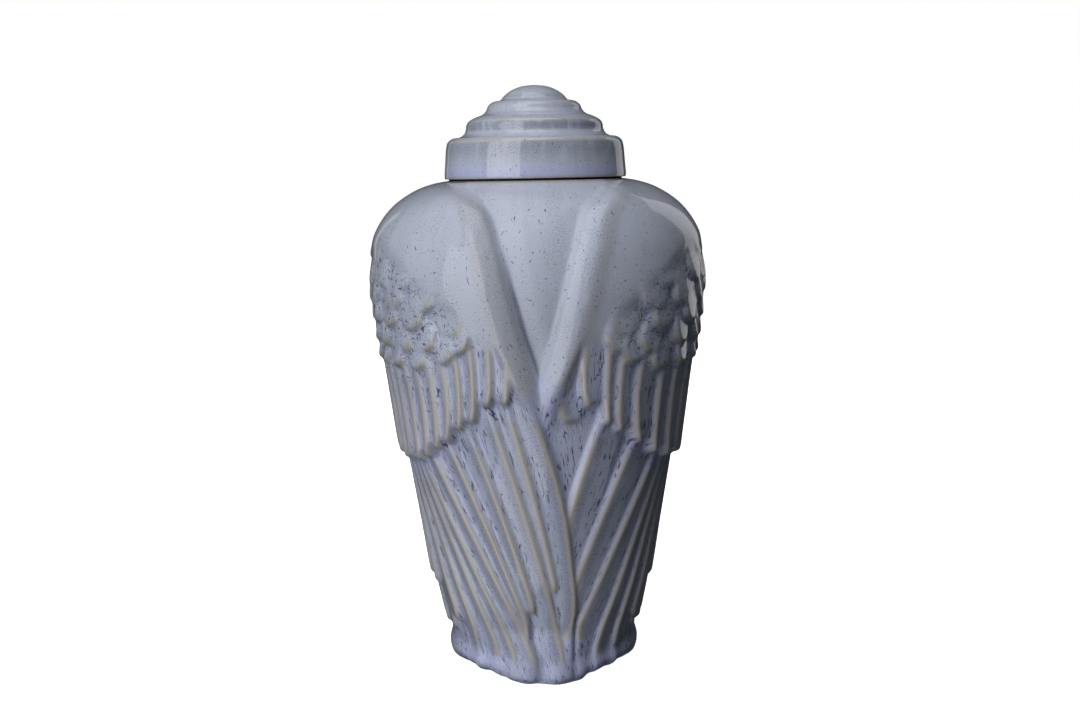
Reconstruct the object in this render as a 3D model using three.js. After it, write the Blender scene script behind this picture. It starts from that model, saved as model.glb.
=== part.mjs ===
// Funeral urn of glazed earthenware: a hollow vessel with two folded wings carved round it, and a stepped lid
// that lifts off. Millimetres, +Z up, front along -Y. The origin is the middle of the underside.
import * as THREE from 'three';
import { mergeVertices } from 'three/addons/utils/BufferGeometryUtils.js';

// Vessel

// Outside of the vessel without its wings, from the ground to the seat of the lid: [radius, height].
const VESSEL_OUTLINE = [
  [49.5, 0], [53.2, 3], [54.2, 8], [52.8, 14.5], [54.2, 24], [59.6, 48], [65, 80], [70.8, 112],
  [79, 156], [85.6, 192], [88.4, 218], [85.2, 238], [77.2, 253], [65.8, 263], [56.5, 267.2], [50.2, 268.6],
];
const WALL = 6.5;
const FLOOR_THICKNESS = 9;
const MOUTH_RADIUS = 38;
const NECK_DEPTH = 7.5;
// The inside follows the outside from this height down to the fillet at the floor.
const INSIDE_SHOULDER = 258;
const INSIDE_FILLET = 8;

// Wings

const SHOULDER_HEIGHT = 5.4;
const LEADING_RIDGE = { width: 11, crest: 0.9, spread: 5.5 };
// The shoulder sinks into the rim over these lengths, and its angles run from the front's to the side's.
const SHOULDER_FADE = { front: 34, side: 60, root: 22, angles: [30, 70] };
// Inner edge of a wing, from the point of the V up to the rim: [angle outwards from the front, height].
const LEADING_EDGE = [[-1, 162], [1.5, 176], [4.5, 190], [8, 211], [12.5, 236], [20, 256], [31, 264]];

const WAIST = 60;
// Feathers of each wing from the front to the back: the angle of a covert's leading edge, the angle that the
// quill below it has at the waist, and the height of that quill's tip. A covert with no quill has one number.
const LEFT_FEATHERS = [
  [10], [16, -6.5, 52], [22, -2, 10], [28, 7, 40], [34, 14.5, 30], [39.5], [46, 21.5, 7], [52.5, 31, 12],
  [59, 38, 14], [66, 47, 20], [73.5, 56, 28], [82, 68, 46], [91, 80, 47], [101, 95, 46], [112, 108, 47],
  [124, 121, 46], [137, 135, 47], [151, 150, 46], [166, 165, 47],
];
const RIGHT_FEATHERS = [
  [15, 3, 40], [23], [28.5], [36.5, 15.5, 38], [47], [56.5, 28.5, 24], [66.5, 42, 10], [76, 52, 14],
  [86, 62, 26], [97, 76, 46], [109, 90, 47], [122, 104, 46], [136, 120, 47], [151, 138, 46], [166, 158, 47],
];
const LAST_PITCH = 14;
// Degrees of turn for each millimetre of rise, by a quill's angle at the waist.
const QUILL_SLANT = [
  [-17, 0.15], [-8, 0.17], [-2, 0.21], [7, 0.24], [14, 0.3], [22, 0.4], [30, 0.4], [40, 0.33], [54, 0.22],
  [80, 0.1], [120, 0.05], [180, 0],
];
const QUILL = {
  floor: [1, 1.5], rise: [2.3, 3], sideRise: 3.6, sideAngle: 60, rounding: 14, spread: 1.35, widths: [9, 19],
};
// A quill starts this far above the tips of the coverts that lie this many degrees further out.
const QUILL_TUCK = { rise: 14, turn: 18 };
// The left wing's first quill lies over the right wing, and the right wing's first goes under it.
const FIRST_LEFT_QUILL = [
  [8, 172], [3.4, 158], [0, 146], [-5, 125], [-9, 106], [-12.2, 84], [-15, 60], [-16.4, 45], [-15, 27],
];
const FIRST_RIGHT_QUILL = [[9.5, 184], [6.5, 163], [7, 150], [9, 138], [11, 122]];
const FIRST_LEFT = { width: 17, floor: [1, 1.6], rise: [2.8, 3.6], rounding: 14, nose: 0.22 };
const FIRST_RIGHT = { width: 14, floor: [0.8, 0.8], rise: [3.4, 1.2], rounding: 14, nose: 0.22 };
// Above this height the left wing ends at the front instead of running over the right one.
const OVERLAP_TOP = 150;
const SEAM_WIDTH = 2.2;
// Short feathers that fill the space under the quills at the sides and the back.
const UNDER_ROW = { start: 60, pitch: 12, top: 70, tip: 21, lean: 1.5 };
const UNDER_FEATHER = { width: 15, floor: [0.6, 1], rise: [1, 2.2], rounding: 9 };

// Heights of the coverts' tips and roots, by angle.
const COVERT_TIPS = [[8, 160], [16, 154], [23, 144], [33, 137], [40, 129], [52, 121], [70, 118], [180, 118]];
const COVERT_ROOTS = [[-5, 166], [6, 167], [10, 188], [24, 187], [34, 180], [50, 174], [62, 168], [180, 166]];
const COVERT = { floor: [3.6, 4.3], rise: [1.4, 3.9], rounding: 9, spread: 1.25, lip: 2.4, nose: 0.3 };
// How far a covert runs up under the scales, how unevenly the tips end, and how its edge bows and leans.
const COVERT_LAY = { tuck: 6, tipScatter: 4, frontBow: 1.2, bow: 0.4, frontEnd: 40, lean: 0.6 };

// Small scale feathers: rows above the coverts, each row starting further out.
const SCALE = { width: 8, length: 9, floor: 4.6, rise: 2.7 };
const SCALE_ROWS = { first: 178, pitch: 10.2, step: 11.5, fade: 0.13, lift: 5 };
const SCALE_JITTER = { turn: 2.4, rise: 2.5, width: 1.5 };
const SCALE_ROW_STARTS = [31, 24.5, 28, 38, 46];
const SCALE_CEILING = [[18, 200], [28, 207], [40, 218], [49, 224], [180, 226]];
const SCALE_TILT = [[20, 50], [40, 36], [60, 22], [90, 6], [180, 0]];

// Width of the soft creases where feathers meet.
const CREASE = 0.8;

// The feathers' mass that runs down over the foot in front.
const SKIRT = { radius: 56, halfAngle: 50, soften: 20, top: 34, rise: 8 };
// Height over which the feathers sink into the foot near the ground.
const GROUND_FADE = 6;

// Lid

const SEAT_GAP = 0.4;
const RING = { radius: 36.8, wall: 4, depth: 8 };
// Inside of the lid above its seat, from the crown down to the ring: [radius, height].
const LID_HOLLOW = [[0, 45.6], [12, 43], [19.6, 36.4], [28.4, 28.4], [32.8, 16]];
// Outside of the lid above its seat, from the lower edge to the crown: [radius, height].
const LID_OUTLINE = [
  [48.3, 0], [49.4, 0.5], [49.8, 1.8], [49.3, 9], [48.5, 17.6], [47.6, 20.4], [45.2, 22.2], [41.2, 22.9],
  [38.8, 24.4], [37.6, 26.8], [37.2, 29.4], [35.9, 31.4], [32.4, 33.4], [28, 35.2], [26.2, 37.2], [25, 39.8],
  [22.6, 41.6], [18.4, 42.6], [16.4, 44.8], [13, 47.4], [7.4, 49.7], [0, 50.6],
];

// Fineness of the facets

// Columns at each feather: millimetres to the foot of its step and to its crest, and the share of its back.
const FEATHER_COLUMNS = { foot: -1.8, crest: 0.5, back: 0.55 };
// Columns across the chest and the leading edges: the share of the chest's half angle, and degrees past it.
const CHEST_COLUMNS = [[0.5, 0], [1, 0.3], [1, 4.5]];
// Columns of the quill under the V: degrees from its edge, and its angle above the coverts' tips.
const CHEST_QUILL_COLUMNS = [0, 3];
const CHEST_QUILL_LEAD = 9.5;
const CROWDING = 0.6;
const LEAN = { shoulder: 70, below: 5, length: 12, seam: 140, seamLength: 24 };
// Rows of facets: heights below the coverts, then steps to heights that may follow the coverts' tips.
const LOW_ROWS = [0, 3, 8, 14.5, 22, 35, 45, 50, 64];
const TIP_STEP = [-2, 1.5];
const ROW_COUNTS = { belowTips: 5, roots: 4, scales: 8, shoulder: 5 };
const ROOT_HEIGHT = 172;
const SCALES_TOP = 228;
const INSIDE_SIDES = 30;
const INSIDE_STATIONS = 7;
const LID_SIDES = 36;

const RADIANS = Math.PI / 180;

// Small helpers

const clamp = (x, low, high) => Math.min(Math.max(x, low), high);
const mix = (a, b, t) => a + (b - a) * t;

function smoothStep(x) {
  const t = clamp(x, 0, 1);
  return t * t * (3 - 2 * t);
}

// The larger of two heights, with a soft crease of the given width where they meet above the ground.
function softMax(a, b, crease) {
  const near = Math.max(crease - Math.abs(a - b), 0);
  const raised = clamp(Math.min(a, b) / crease, 0, 1);
  return Math.max(a, b) + ((near * near) / (4 * crease)) * raised;
}

// A repeatable number from 0 to 1 that differs from seed to seed.
function scatter(seed) {
  const x = Math.sin(seed * 12.9898) * 43758.5453;
  return x - Math.floor(x);
}

// Straight-line reading of a short list of [x, y] stations.
function along(stations, x) {
  if (x <= stations[0][0]) return stations[0][1];
  for (let i = 1; i < stations.length; i++) {
    const [x0, y0] = stations[i - 1];
    const [x1, y1] = stations[i];
    if (x <= x1) return mix(y0, y1, (x - x0) / (x1 - x0));
  }
  return stations[stations.length - 1][1];
}

// Smooth curve through [x, y] stations, straight beyond both ends.
function smoothCurve(stations) {
  const last = stations.length - 1;
  const slopes = stations.map((_, i) => {
    const [x0, y0] = stations[Math.max(i - 1, 0)];
    const [x1, y1] = stations[Math.min(i + 1, last)];
    return (y1 - y0) / (x1 - x0);
  });
  return (x) => {
    if (x <= stations[0][0]) return stations[0][1] + (x - stations[0][0]) * slopes[0];
    if (x >= stations[last][0]) return stations[last][1] + (x - stations[last][0]) * slopes[last];
    const i = stations.findIndex((station) => station[0] > x) - 1;
    const [x0, y0] = stations[i];
    const [x1, y1] = stations[i + 1];
    const h = x1 - x0;
    const t = (x - x0) / h;
    const t2 = t * t;
    const t3 = t2 * t;
    return (2 * t3 - 3 * t2 + 1) * y0 + (t3 - 2 * t2 + t) * h * slopes[i]
      + (3 * t2 - 2 * t3) * y1 + (t3 - t2) * h * slopes[i + 1];
  };
}

// The vessel's outline as a curve, read by its run: the length along it from the ground.
class Outline {
  constructor(points, steps = 24) {
    const places = points.map(([r, z]) => new THREE.Vector3(r, 0, z));
    const curve = new THREE.CatmullRomCurve3(places, false, 'centripetal');
    this.samples = curve.getPoints((points.length - 1) * steps).map((p) => ({ r: p.x, z: p.z, run: 0 }));
    for (let i = 1; i < this.samples.length; i++) {
      const [a, b] = [this.samples[i - 1], this.samples[i]];
      b.run = a.run + Math.hypot(b.r - a.r, b.z - a.z);
    }
    this.length = this.samples[this.samples.length - 1].run;
  }

  between(key, value) {
    let low = 0;
    let high = this.samples.length - 1;
    while (high - low > 1) {
      const middle = (low + high) >> 1;
      if (this.samples[middle][key] <= value) low = middle;
      else high = middle;
    }
    const [a, b] = [this.samples[low], this.samples[high]];
    return [a, b, (value - a[key]) / (b[key] - a[key])];
  }

  // Radius, height and outward normal at a run.
  at(run) {
    const [a, b, t] = this.between('run', run);
    const length = b.run - a.run;
    const [nr, nz] = [(b.z - a.z) / length, (a.r - b.r) / length];
    return { r: mix(a.r, b.r, t), z: mix(a.z, b.z, t), nr, nz };
  }

  runAt(height) {
    const [a, b, t] = this.between('z', height);
    return mix(a.run, b.run, t);
  }
}

const vessel = new Outline(VESSEL_OUTLINE);
const radiusAt = (height) => vessel.at(vessel.runAt(height)).r;

// A feather's leading edge: its angle at a run, from [angle, height] stations in either order.
function edgeCurve(points) {
  const upwards = [...points].sort((a, b) => a[1] - b[1]);
  return smoothCurve(upwards.map(([angle, height]) => [vessel.runAt(height), angle]));
}

// Degrees outwards of an edge, as millimetres square to the edge.
function acrossEdge(edge, angle, run, radius) {
  const slope = (edge(run + 0.5) - edge(run - 0.5)) * RADIANS * radius;
  return ((angle - edge(run)) * RADIANS * radius) / Math.hypot(1, slope);
}

// A long feather: a crest along its leading edge, falling away outwards, and a rounded tip.
class Feather {
  constructor(points, { width, floor, rise, rounding, lip = 2.6, nose = 0.32, fall = 1.25, root = 18 }) {
    this.edge = edgeCurve(points);
    const heights = points.map((point) => point[1]);
    const angles = points.map((point) => point[0]);
    this.tip = vessel.runAt(Math.min(...heights));
    this.top = vessel.runAt(Math.max(...heights));
    this.from = Math.min(...angles) - 8;
    this.to = Math.max(...angles) + 8 + width / (45 * RADIANS);
    Object.assign(this, { width, floor, rise, rounding, lip, nose, fall, root });
  }

  height(angle, run, radius) {
    if (angle < this.from || angle > this.to) return 0;
    if (run < this.tip - this.lip || run > this.top + this.root) return 0;
    const across = acrossEdge(this.edge, angle, run, radius);
    const turn = clamp(1 - (run - this.tip) / this.rounding, 0, 1);
    const close = 1 - Math.sqrt(Math.max(1 - turn * turn, 0));
    const low = this.nose * this.width * close;
    const high = this.width * (1 - (1 - this.nose) * close);
    if (across < low - this.lip || across > high + this.lip) return 0;
    const share = clamp((across - low) / Math.max(high - low, 1), 0, 1);
    const down = clamp((this.top - run) / (this.top - this.tip), 0, 1);
    const front = smoothStep((across - low) / this.lip + 0.75);
    const sides = front * smoothStep((high - across) / this.lip + 0.25);
    const ends = smoothStep((run - this.tip) / this.lip + 0.1) * smoothStep((this.top - run) / this.root + 1);
    const crest = mix(this.rise[0], this.rise[1], down) * (1 - share) ** this.fall;
    return (mix(this.floor[0], this.floor[1], down) + crest) * sides * ends;
  }
}

// A small feather shaped as a rounded scale, raised towards its tip.
class Scale {
  constructor(angle, height, width, strength) {
    this.angle = angle;
    this.run = vessel.runAt(height);
    this.width = width;
    this.rise = SCALE.rise * strength;
    this.tilt = along(SCALE_TILT, angle) * RADIANS;
  }

  height(angle, run, radius) {
    const x = (angle - this.angle) * RADIANS * radius;
    const y = run - this.run;
    if (Math.hypot(x, y) > 3 * SCALE.length) return 0;
    const forward = -x * Math.sin(this.tilt) - y * Math.cos(this.tilt);
    const sideways = -x * Math.cos(this.tilt) + y * Math.sin(this.tilt);
    const reach = Math.hypot(sideways / this.width, (forward + SCALE.length / 2) / (SCALE.length * 1.15));
    const inside = (1 - reach) * Math.min(this.width, SCALE.length);
    const ramp = clamp((forward + SCALE.length * 1.4) / (SCALE.length * 2), 0, 1);
    return (SCALE.floor + this.rise * ramp ** 1.2) * smoothStep(inside / 3 + 0.3);
  }
}

function quillPoints(lead, tip) {
  const slant = along(QUILL_SLANT, lead);
  const top = along(COVERT_TIPS, lead + QUILL_TUCK.turn) + QUILL_TUCK.rise;
  return [0, 1 / 3, 2 / 3, 1].map((t) => {
    const height = mix(top, tip, t);
    return [lead + slant * (height - WAIST), height];
  });
}

// Quills of a wing, in the order of its feathers, with nothing where a covert has none.
function quills(feathers) {
  return feathers.map(([, lead, tip], i) => {
    if (lead === undefined) return null;
    const after = feathers.slice(i + 1).find((feather) => feather.length > 1);
    const gap = ((after ? after[1] : lead + LAST_PITCH) - lead) * RADIANS * radiusAt(WAIST);
    const rise = [QUILL.rise[0], mix(QUILL.rise[1], QUILL.sideRise, clamp(lead / QUILL.sideAngle, 0, 1))];
    const width = clamp(gap * QUILL.spread, ...QUILL.widths);
    return new Feather(quillPoints(lead, tip), { ...QUILL, rise, width });
  });
}

function underRow() {
  const feathers = [];
  for (let angle = UNDER_ROW.start; angle < 180; angle += UNDER_ROW.pitch) {
    const points = [[angle + UNDER_ROW.lean, UNDER_ROW.top], [angle, UNDER_ROW.tip]];
    feathers.push(new Feather(points, UNDER_FEATHER));
  }
  return feathers;
}

function coverts(feathers) {
  return feathers.map(([lead], i) => {
    const next = i + 1 < feathers.length ? feathers[i + 1][0] : lead + LAST_PITCH;
    const top = along(COVERT_ROOTS, lead) + COVERT_LAY.tuck;
    const tip = along(COVERT_TIPS, lead) + (scatter(lead) - 0.5) * COVERT_LAY.tipScatter;
    const middle = (top + tip) / 2;
    const bow = lead < COVERT_LAY.frontEnd ? COVERT_LAY.frontBow : COVERT_LAY.bow;
    const width = (next - lead) * RADIANS * radiusAt(middle) * COVERT.spread;
    const points = [[lead, top], [lead - bow / 2, middle], [lead + COVERT_LAY.lean, tip]];
    return new Feather(points, { ...COVERT, width });
  });
}

// Scales of a wing. The first of the lowest row sits a little higher, beside the front coverts.
function scales(seed) {
  const found = [];
  SCALE_ROW_STARTS.forEach((start, row) => {
    for (let angle = start; angle < 180; angle += SCALE_ROWS.step) {
      const jitter = scatter(angle + 3 * row + seed) - 0.5;
      const lift = row === 0 && angle === start ? SCALE_ROWS.lift : 0;
      const height = SCALE_ROWS.first + SCALE_ROWS.pitch * row + lift + jitter * SCALE_JITTER.rise;
      if (height > along(SCALE_CEILING, angle)) continue;
      const width = SCALE.width + jitter * SCALE_JITTER.width;
      found.push(new Scale(angle + jitter * SCALE_JITTER.turn, height, width, 1 - SCALE_ROWS.fade * row));
    }
  });
  return found;
}

const leadingEdge = edgeCurve(LEADING_EDGE);

// One folded wing. Angles count outwards from the front, to the left or the right.
class Wing {
  constructor(feathers, firstQuill, seed) {
    this.leads = feathers.map(([lead]) => lead);
    this.quills = quills(feathers);
    this.lowFeathers = [...underRow(), ...this.quills.filter((quill) => quill), firstQuill];
    this.coverts = coverts(feathers);
    this.scales = scales(seed);
  }

  // The smooth shoulder behind the leading edge, with a rounded ridge along it.
  shoulder(angle, run, radius) {
    const across = acrossEdge(leadingEdge, angle, run, radius);
    if (across <= 0) return 0;
    const up = Math.sin((Math.PI / 2) * Math.min(across / LEADING_RIDGE.width, 1));
    const offset = (across - LEADING_RIDGE.width) / LEADING_RIDGE.spread;
    const ridge = LEADING_RIDGE.crest * Math.exp(-offset * offset);
    const [frontEnd, sideStart] = SHOULDER_FADE.angles;
    const sideways = smoothStep((angle - frontEnd) / (sideStart - frontEnd));
    const top = smoothStep((vessel.length - run) / mix(SHOULDER_FADE.front, SHOULDER_FADE.side, sideways));
    const root = vessel.runAt(along(COVERT_ROOTS, angle));
    return (SHOULDER_HEIGHT + ridge) * up * top * smoothStep((run - root) / SHOULDER_FADE.root + 1);
  }

  height(angle, run, radius) {
    const lay = (under, feathers) => feathers.reduce(
      (height, feather) => softMax(height, feather.height(angle, run, radius), CREASE),
      under,
    );
    const shoulder = this.shoulder(angle, run, radius);
    return lay(softMax(lay(0, this.lowFeathers), shoulder, CREASE), [...this.coverts, ...this.scales]);
  }
}

const firstLeft = new Feather(FIRST_LEFT_QUILL, FIRST_LEFT);
const firstRight = new Feather(FIRST_RIGHT_QUILL, FIRST_RIGHT);
const leftWing = new Wing(LEFT_FEATHERS, firstLeft, 0);
const rightWing = new Wing(RIGHT_FEATHERS, firstRight, 7);

// Angle of the line where the left wing ends on the right one.
function seamAngle(run) {
  return Math.max(-firstLeft.edge(clamp(run, firstLeft.tip, firstLeft.top)), 0);
}

// Height of both wings above the vessel. Angle 0 is the front, and angles grow to the viewer's right.
function wingHeight(angle, run, radius, height) {
  const open = (degrees) => smoothStep((degrees * RADIANS * radius) / SEAM_WIDTH + 0.6);
  const leftOpen = height > OVERLAP_TOP ? open(1 - angle) : 1;
  const rightOpen = open(angle - seamAngle(run));
  const left = leftOpen > 0 ? leftWing.height(-angle, run, radius) * leftOpen : 0;
  const right = rightOpen > 0 ? rightWing.height(angle, run, radius) * rightOpen : 0;
  return Math.max(left, right);
}

// A point of the carved outside.
function outsidePoint(angle, run) {
  const { r, z, nr, nz } = vessel.at(run);
  const cover = smoothStep((SKIRT.halfAngle - Math.abs(angle)) / SKIRT.soften);
  const skirt = Math.max(SKIRT.radius - r, 0) * cover * smoothStep((SKIRT.top - z) / SKIRT.rise);
  const height = wingHeight(angle, run, r, z) * smoothStep(z / GROUND_FADE + 0.35);
  const radius = r + skirt + nr * height;
  const lift = nz * height * smoothStep(z / GROUND_FADE);
  const turn = angle * RADIANS;
  return new THREE.Vector3(radius * Math.sin(turn), -radius * Math.cos(turn), z + lift);
}

// Columns of facets of one wing, from the front to the back. Each gives its angle outwards from the front at
// a run, below the coverts' tips and above them. One with no place below is crowded up to the wings' overlap.
function wingColumns(wing, firstQuill, chestQuill) {
  const open = (run) => Math.max(leadingEdge(run), 0);
  const lean = (angle, run) => angle + open(run) * clamp(1 - angle / LEAN.shoulder, 0, 1);
  const columns = CHEST_COLUMNS.map(([share, past]) => ({
    lead: 0,
    above: (run) => open(run) * share + past,
    below: () => -180,
  }));
  if (chestQuill) {
    for (const past of CHEST_QUILL_COLUMNS) {
      columns.push({
        lead: 0,
        above: (run) => lean(CHEST_QUILL_LEAD + past, run),
        below: (run) => chestQuill.edge(run) + past,
      });
    }
  }
  const quillEdge = (i) => {
    const own = wing.quills[i] ?? (i === 0 ? firstQuill : null);
    if (own) return own.edge;
    const before = wing.quills.slice(0, i).reverse().find((quill) => quill) ?? firstQuill;
    const after = wing.quills.slice(i + 1).find((quill) => quill);
    return (run) => (before.edge(run) + after.edge(run)) / 2;
  };
  wing.leads.forEach((lead, i) => {
    const edge = quillEdge(i);
    const isLast = i + 1 === wing.leads.length;
    const nextEdge = isLast ? () => 180 : quillEdge(i + 1);
    const nextLead = isLast ? 180 : wing.leads[i + 1];
    for (const offset of [FEATHER_COLUMNS.foot, FEATHER_COLUMNS.crest]) {
      columns.push({
        lead,
        above: (run, degree) => lean(lead, run) + offset / degree,
        below: (run, degree) => edge(run) + offset / degree,
      });
    }
    columns.push({
      lead,
      above: (run) => lean(mix(lead, nextLead, FEATHER_COLUMNS.back), run),
      below: (run) => mix(edge(run), Math.max(nextEdge(run), edge(run)), FEATHER_COLUMNS.back),
    });
  });
  return columns;
}

// Runs of the rows of facets in a column that has the given covert's tip.
function rowRuns(tip) {
  const stops = [
    [tip + TIP_STEP[0], ROW_COUNTS.belowTips], [tip + TIP_STEP[1], 1], [ROOT_HEIGHT, ROW_COUNTS.roots],
    [SCALES_TOP, ROW_COUNTS.scales],
  ];
  const runs = LOW_ROWS.map((height) => (height > 0 ? vessel.runAt(height) : 0));
  const stretch = (end, count) => {
    const start = runs[runs.length - 1];
    for (let i = 1; i <= count; i++) runs.push(mix(start, end, i / count));
  };
  for (const [height, count] of stops) stretch(vessel.runAt(height), count);
  stretch(vessel.length, ROW_COUNTS.shoulder);
  return runs;
}

// The carved outside as a grid of facets: rows of points, each row once round the vessel by growing angle.
// Columns follow the feathers: a covert's leading edge above, and the quill below it further down.
function carvedRows() {
  const left = wingColumns(leftWing, firstLeft, null);
  const right = wingColumns(rightWing, firstRight, firstRight);
  const runs = (column) => rowRuns(along(COVERT_TIPS, column.lead));
  const middle = rowRuns(COVERT_TIPS[0][1]);
  return middle.map((middleRun, row) => {
    const { r, z } = vessel.at(middleRun);
    const step = (CHEST_COLUMNS.length + 1) * CROWDING - FEATHER_COLUMNS.foot;
    const below = 1 - smoothStep((z - LEAN.seam) / LEAN.seamLength);
    const start = (seamAngle(middleRun) + step / (r * RADIANS)) * below;
    const sweep = (columns, from) => {
      let angle = from;
      return columns.map((column) => {
        const run = runs(column)[row];
        const at = vessel.at(run);
        const degree = at.r * RADIANS;
        const tip = along(COVERT_TIPS, column.lead);
        const share = smoothStep((at.z - tip + LEAN.below) / LEAN.length);
        const own = mix(column.below(run, degree), column.above(run, degree), share);
        angle = Math.max(own, angle + CROWDING / degree);
        return [Math.min(angle, 180), run];
      });
    };
    const leftPlaces = sweep(left, -start).map(([angle, run]) => [-angle, run]).reverse();
    const places = [...leftPlaces, [start, middleRun], ...sweep(right, start)];
    return places.map(([angle, run]) => outsidePoint(angle, run));
  });
}

// Collects triangles of points into one geometry.
class Shell {
  constructor() {
    this.positions = [];
  }

  triangle(a, b, c) {
    for (const p of [a, b, c]) this.positions.push(p.x, p.y, p.z);
  }

  // Quads between rows of points that each run once round by growing angle, from the ground up outside,
  // or from the mouth down inside. Each quad is cut along its shorter diagonal.
  band(rows) {
    for (let row = 1; row < rows.length; row++) {
      const [low, high] = [rows[row - 1], rows[row]];
      for (let i = 0; i < low.length; i++) {
        const next = (i + 1) % low.length;
        const [a, b, c, d] = [low[i], low[next], high[next], high[i]];
        if (a.distanceTo(c) < b.distanceTo(d)) {
          this.triangle(a, b, c);
          this.triangle(a, c, d);
        } else {
          this.triangle(a, b, d);
          this.triangle(b, c, d);
        }
      }
    }
  }

  // A flat region between an outer loop and an optional hole, both by growing angle, facing up or down.
  flat(outer, hole, up) {
    const flatten = (loop) => loop.map((p) => new THREE.Vector2(p.x, p.y));
    const corners = [...outer, ...hole];
    const faces = THREE.ShapeUtils.triangulateShape(flatten(outer), hole.length ? [flatten(hole)] : []);
    for (const [i, j, k] of faces) {
      const [a, b, c] = [corners[i], corners[j], corners[k]];
      const turn = (b.x - a.x) * (c.y - a.y) - (b.y - a.y) * (c.x - a.x);
      if (turn > 0 === up) this.triangle(a, b, c);
      else this.triangle(a, c, b);
    }
  }

  geometry() {
    const geometry = new THREE.BufferGeometry();
    geometry.setAttribute('position', new THREE.Float32BufferAttribute(this.positions, 3));
    const merged = mergeVertices(geometry, 1e-3);
    merged.computeVertexNormals();
    return merged;
  }
}

// Stations of the inside of the vessel, from the mouth down to the floor: [radius, height].
function insideOutline() {
  const top = VESSEL_OUTLINE[VESSEL_OUTLINE.length - 1][1];
  const stations = [[MOUTH_RADIUS, top], [MOUTH_RADIUS, top - NECK_DEPTH]];
  const from = vessel.runAt(INSIDE_SHOULDER);
  const to = vessel.runAt(FLOOR_THICKNESS + INSIDE_FILLET);
  for (let i = 0; i <= INSIDE_STATIONS; i++) {
    const { r, z, nr, nz } = vessel.at(mix(from, to, i / INSIDE_STATIONS));
    stations.push([r - nr * WALL, z - nz * WALL]);
  }
  const [foot] = stations[stations.length - 1];
  stations.push([foot - INSIDE_FILLET * 0.3, FLOOR_THICKNESS + INSIDE_FILLET * 0.3]);
  stations.push([foot - INSIDE_FILLET, FLOOR_THICKNESS]);
  return stations;
}

function circle(radius, height, sides) {
  return Array.from({ length: sides }, (_, i) => {
    const turn = (i * 2 * Math.PI) / sides - Math.PI;
    return new THREE.Vector3(radius * Math.sin(turn), -radius * Math.cos(turn), height);
  });
}

function urnBody() {
  const shell = new Shell();
  const outside = carvedRows();
  const inside = insideOutline().map(([radius, height]) => circle(radius, height, INSIDE_SIDES));
  shell.band(outside);
  shell.band(inside);
  shell.flat(outside[0], [], false);
  shell.flat(outside[outside.length - 1], inside[0], true);
  shell.flat(inside[inside.length - 1], [], true);
  return shell.geometry();
}

// The lid is a turned shell, open below, with a ring that drops into the mouth.
function lid() {
  const seat = VESSEL_OUTLINE[VESSEL_OUTLINE.length - 1][1] + SEAT_GAP;
  const profile = [
    ...LID_HOLLOW, [RING.radius - RING.wall, -RING.depth], [RING.radius, -RING.depth], [RING.radius, 0],
    ...LID_OUTLINE,
  ];
  const points = profile.map(([radius, height]) => new THREE.Vector2(radius, height + seat));
  const geometry = new THREE.LatheGeometry(points, LID_SIDES);
  geometry.deleteAttribute('normal');
  geometry.deleteAttribute('uv');
  geometry.rotateX(Math.PI / 2);
  const merged = mergeVertices(geometry, 1e-3);
  merged.computeVertexNormals();
  return merged;
}

// Glaze

const glaze = () => new THREE.MeshStandardMaterial({ color: 0xa6a9ba, roughness: 0.22, metalness: 0 });

function piece(name, geometry) {
  const mesh = new THREE.Mesh(geometry, glaze());
  mesh.name = name;
  return mesh;
}

const urn = new THREE.Group();
urn.name = 'funeral_urn';
urn.add(piece('urn_body', urnBody()));
urn.add(piece('lid', lid()));

export default urn;
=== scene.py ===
"""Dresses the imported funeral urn: a shouldered vessel carved with two folded wings, and its stepped lid.

Sizes are millimetres until a mesh is made. Angles are degrees round the vessel: 0 is the front, along -Y,
and they grow to the viewer's right. A "run" is a length along the vessel's outline, measured from the ground.
A Ramp is the start and the width of a smooth step, as ramp() takes them.
"""

import logging
import math
from dataclasses import dataclass, field
from enum import Enum

import bpy
import numpy as np
from mathutils import Matrix, Vector

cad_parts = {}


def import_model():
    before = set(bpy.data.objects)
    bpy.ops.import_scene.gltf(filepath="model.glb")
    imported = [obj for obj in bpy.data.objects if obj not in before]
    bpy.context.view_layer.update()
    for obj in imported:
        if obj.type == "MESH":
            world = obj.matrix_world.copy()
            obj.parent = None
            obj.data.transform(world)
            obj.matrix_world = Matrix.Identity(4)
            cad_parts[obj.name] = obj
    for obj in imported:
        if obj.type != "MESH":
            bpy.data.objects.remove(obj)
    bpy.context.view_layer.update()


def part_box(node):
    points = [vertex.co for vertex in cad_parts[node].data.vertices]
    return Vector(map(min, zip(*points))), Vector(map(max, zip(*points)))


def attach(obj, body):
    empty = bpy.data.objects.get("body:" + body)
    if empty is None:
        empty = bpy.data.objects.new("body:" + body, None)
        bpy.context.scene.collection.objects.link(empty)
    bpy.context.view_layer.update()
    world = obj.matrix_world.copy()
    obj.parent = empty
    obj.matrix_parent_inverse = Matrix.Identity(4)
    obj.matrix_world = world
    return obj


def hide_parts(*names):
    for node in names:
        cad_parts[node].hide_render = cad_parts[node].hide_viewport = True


MM = 0.001
BODY = "root"
# The glaze's masks by name; one of them is painted shade beside the left leading ridge.
MASKS = ("tan", "grey", "pool", "lined", "curled", "painted_ridge_shade", "dull")
PLACES = ("flow", "skin")
LID_PATTERN = 1.6
LID_MEAN_RADIUS = 42.0
LID_GLOSS = 1.75
WELD_DISTANCE = 0.002 * MM
HASH_TURN, HASH_SPREAD = 12.9898, 43758.5453
Ramp = tuple[float, float]
Feed = bpy.types.NodeSocket | float | tuple | str
Outputs = bpy.types.bpy_prop_collection
log = logging.getLogger("urn")


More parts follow.
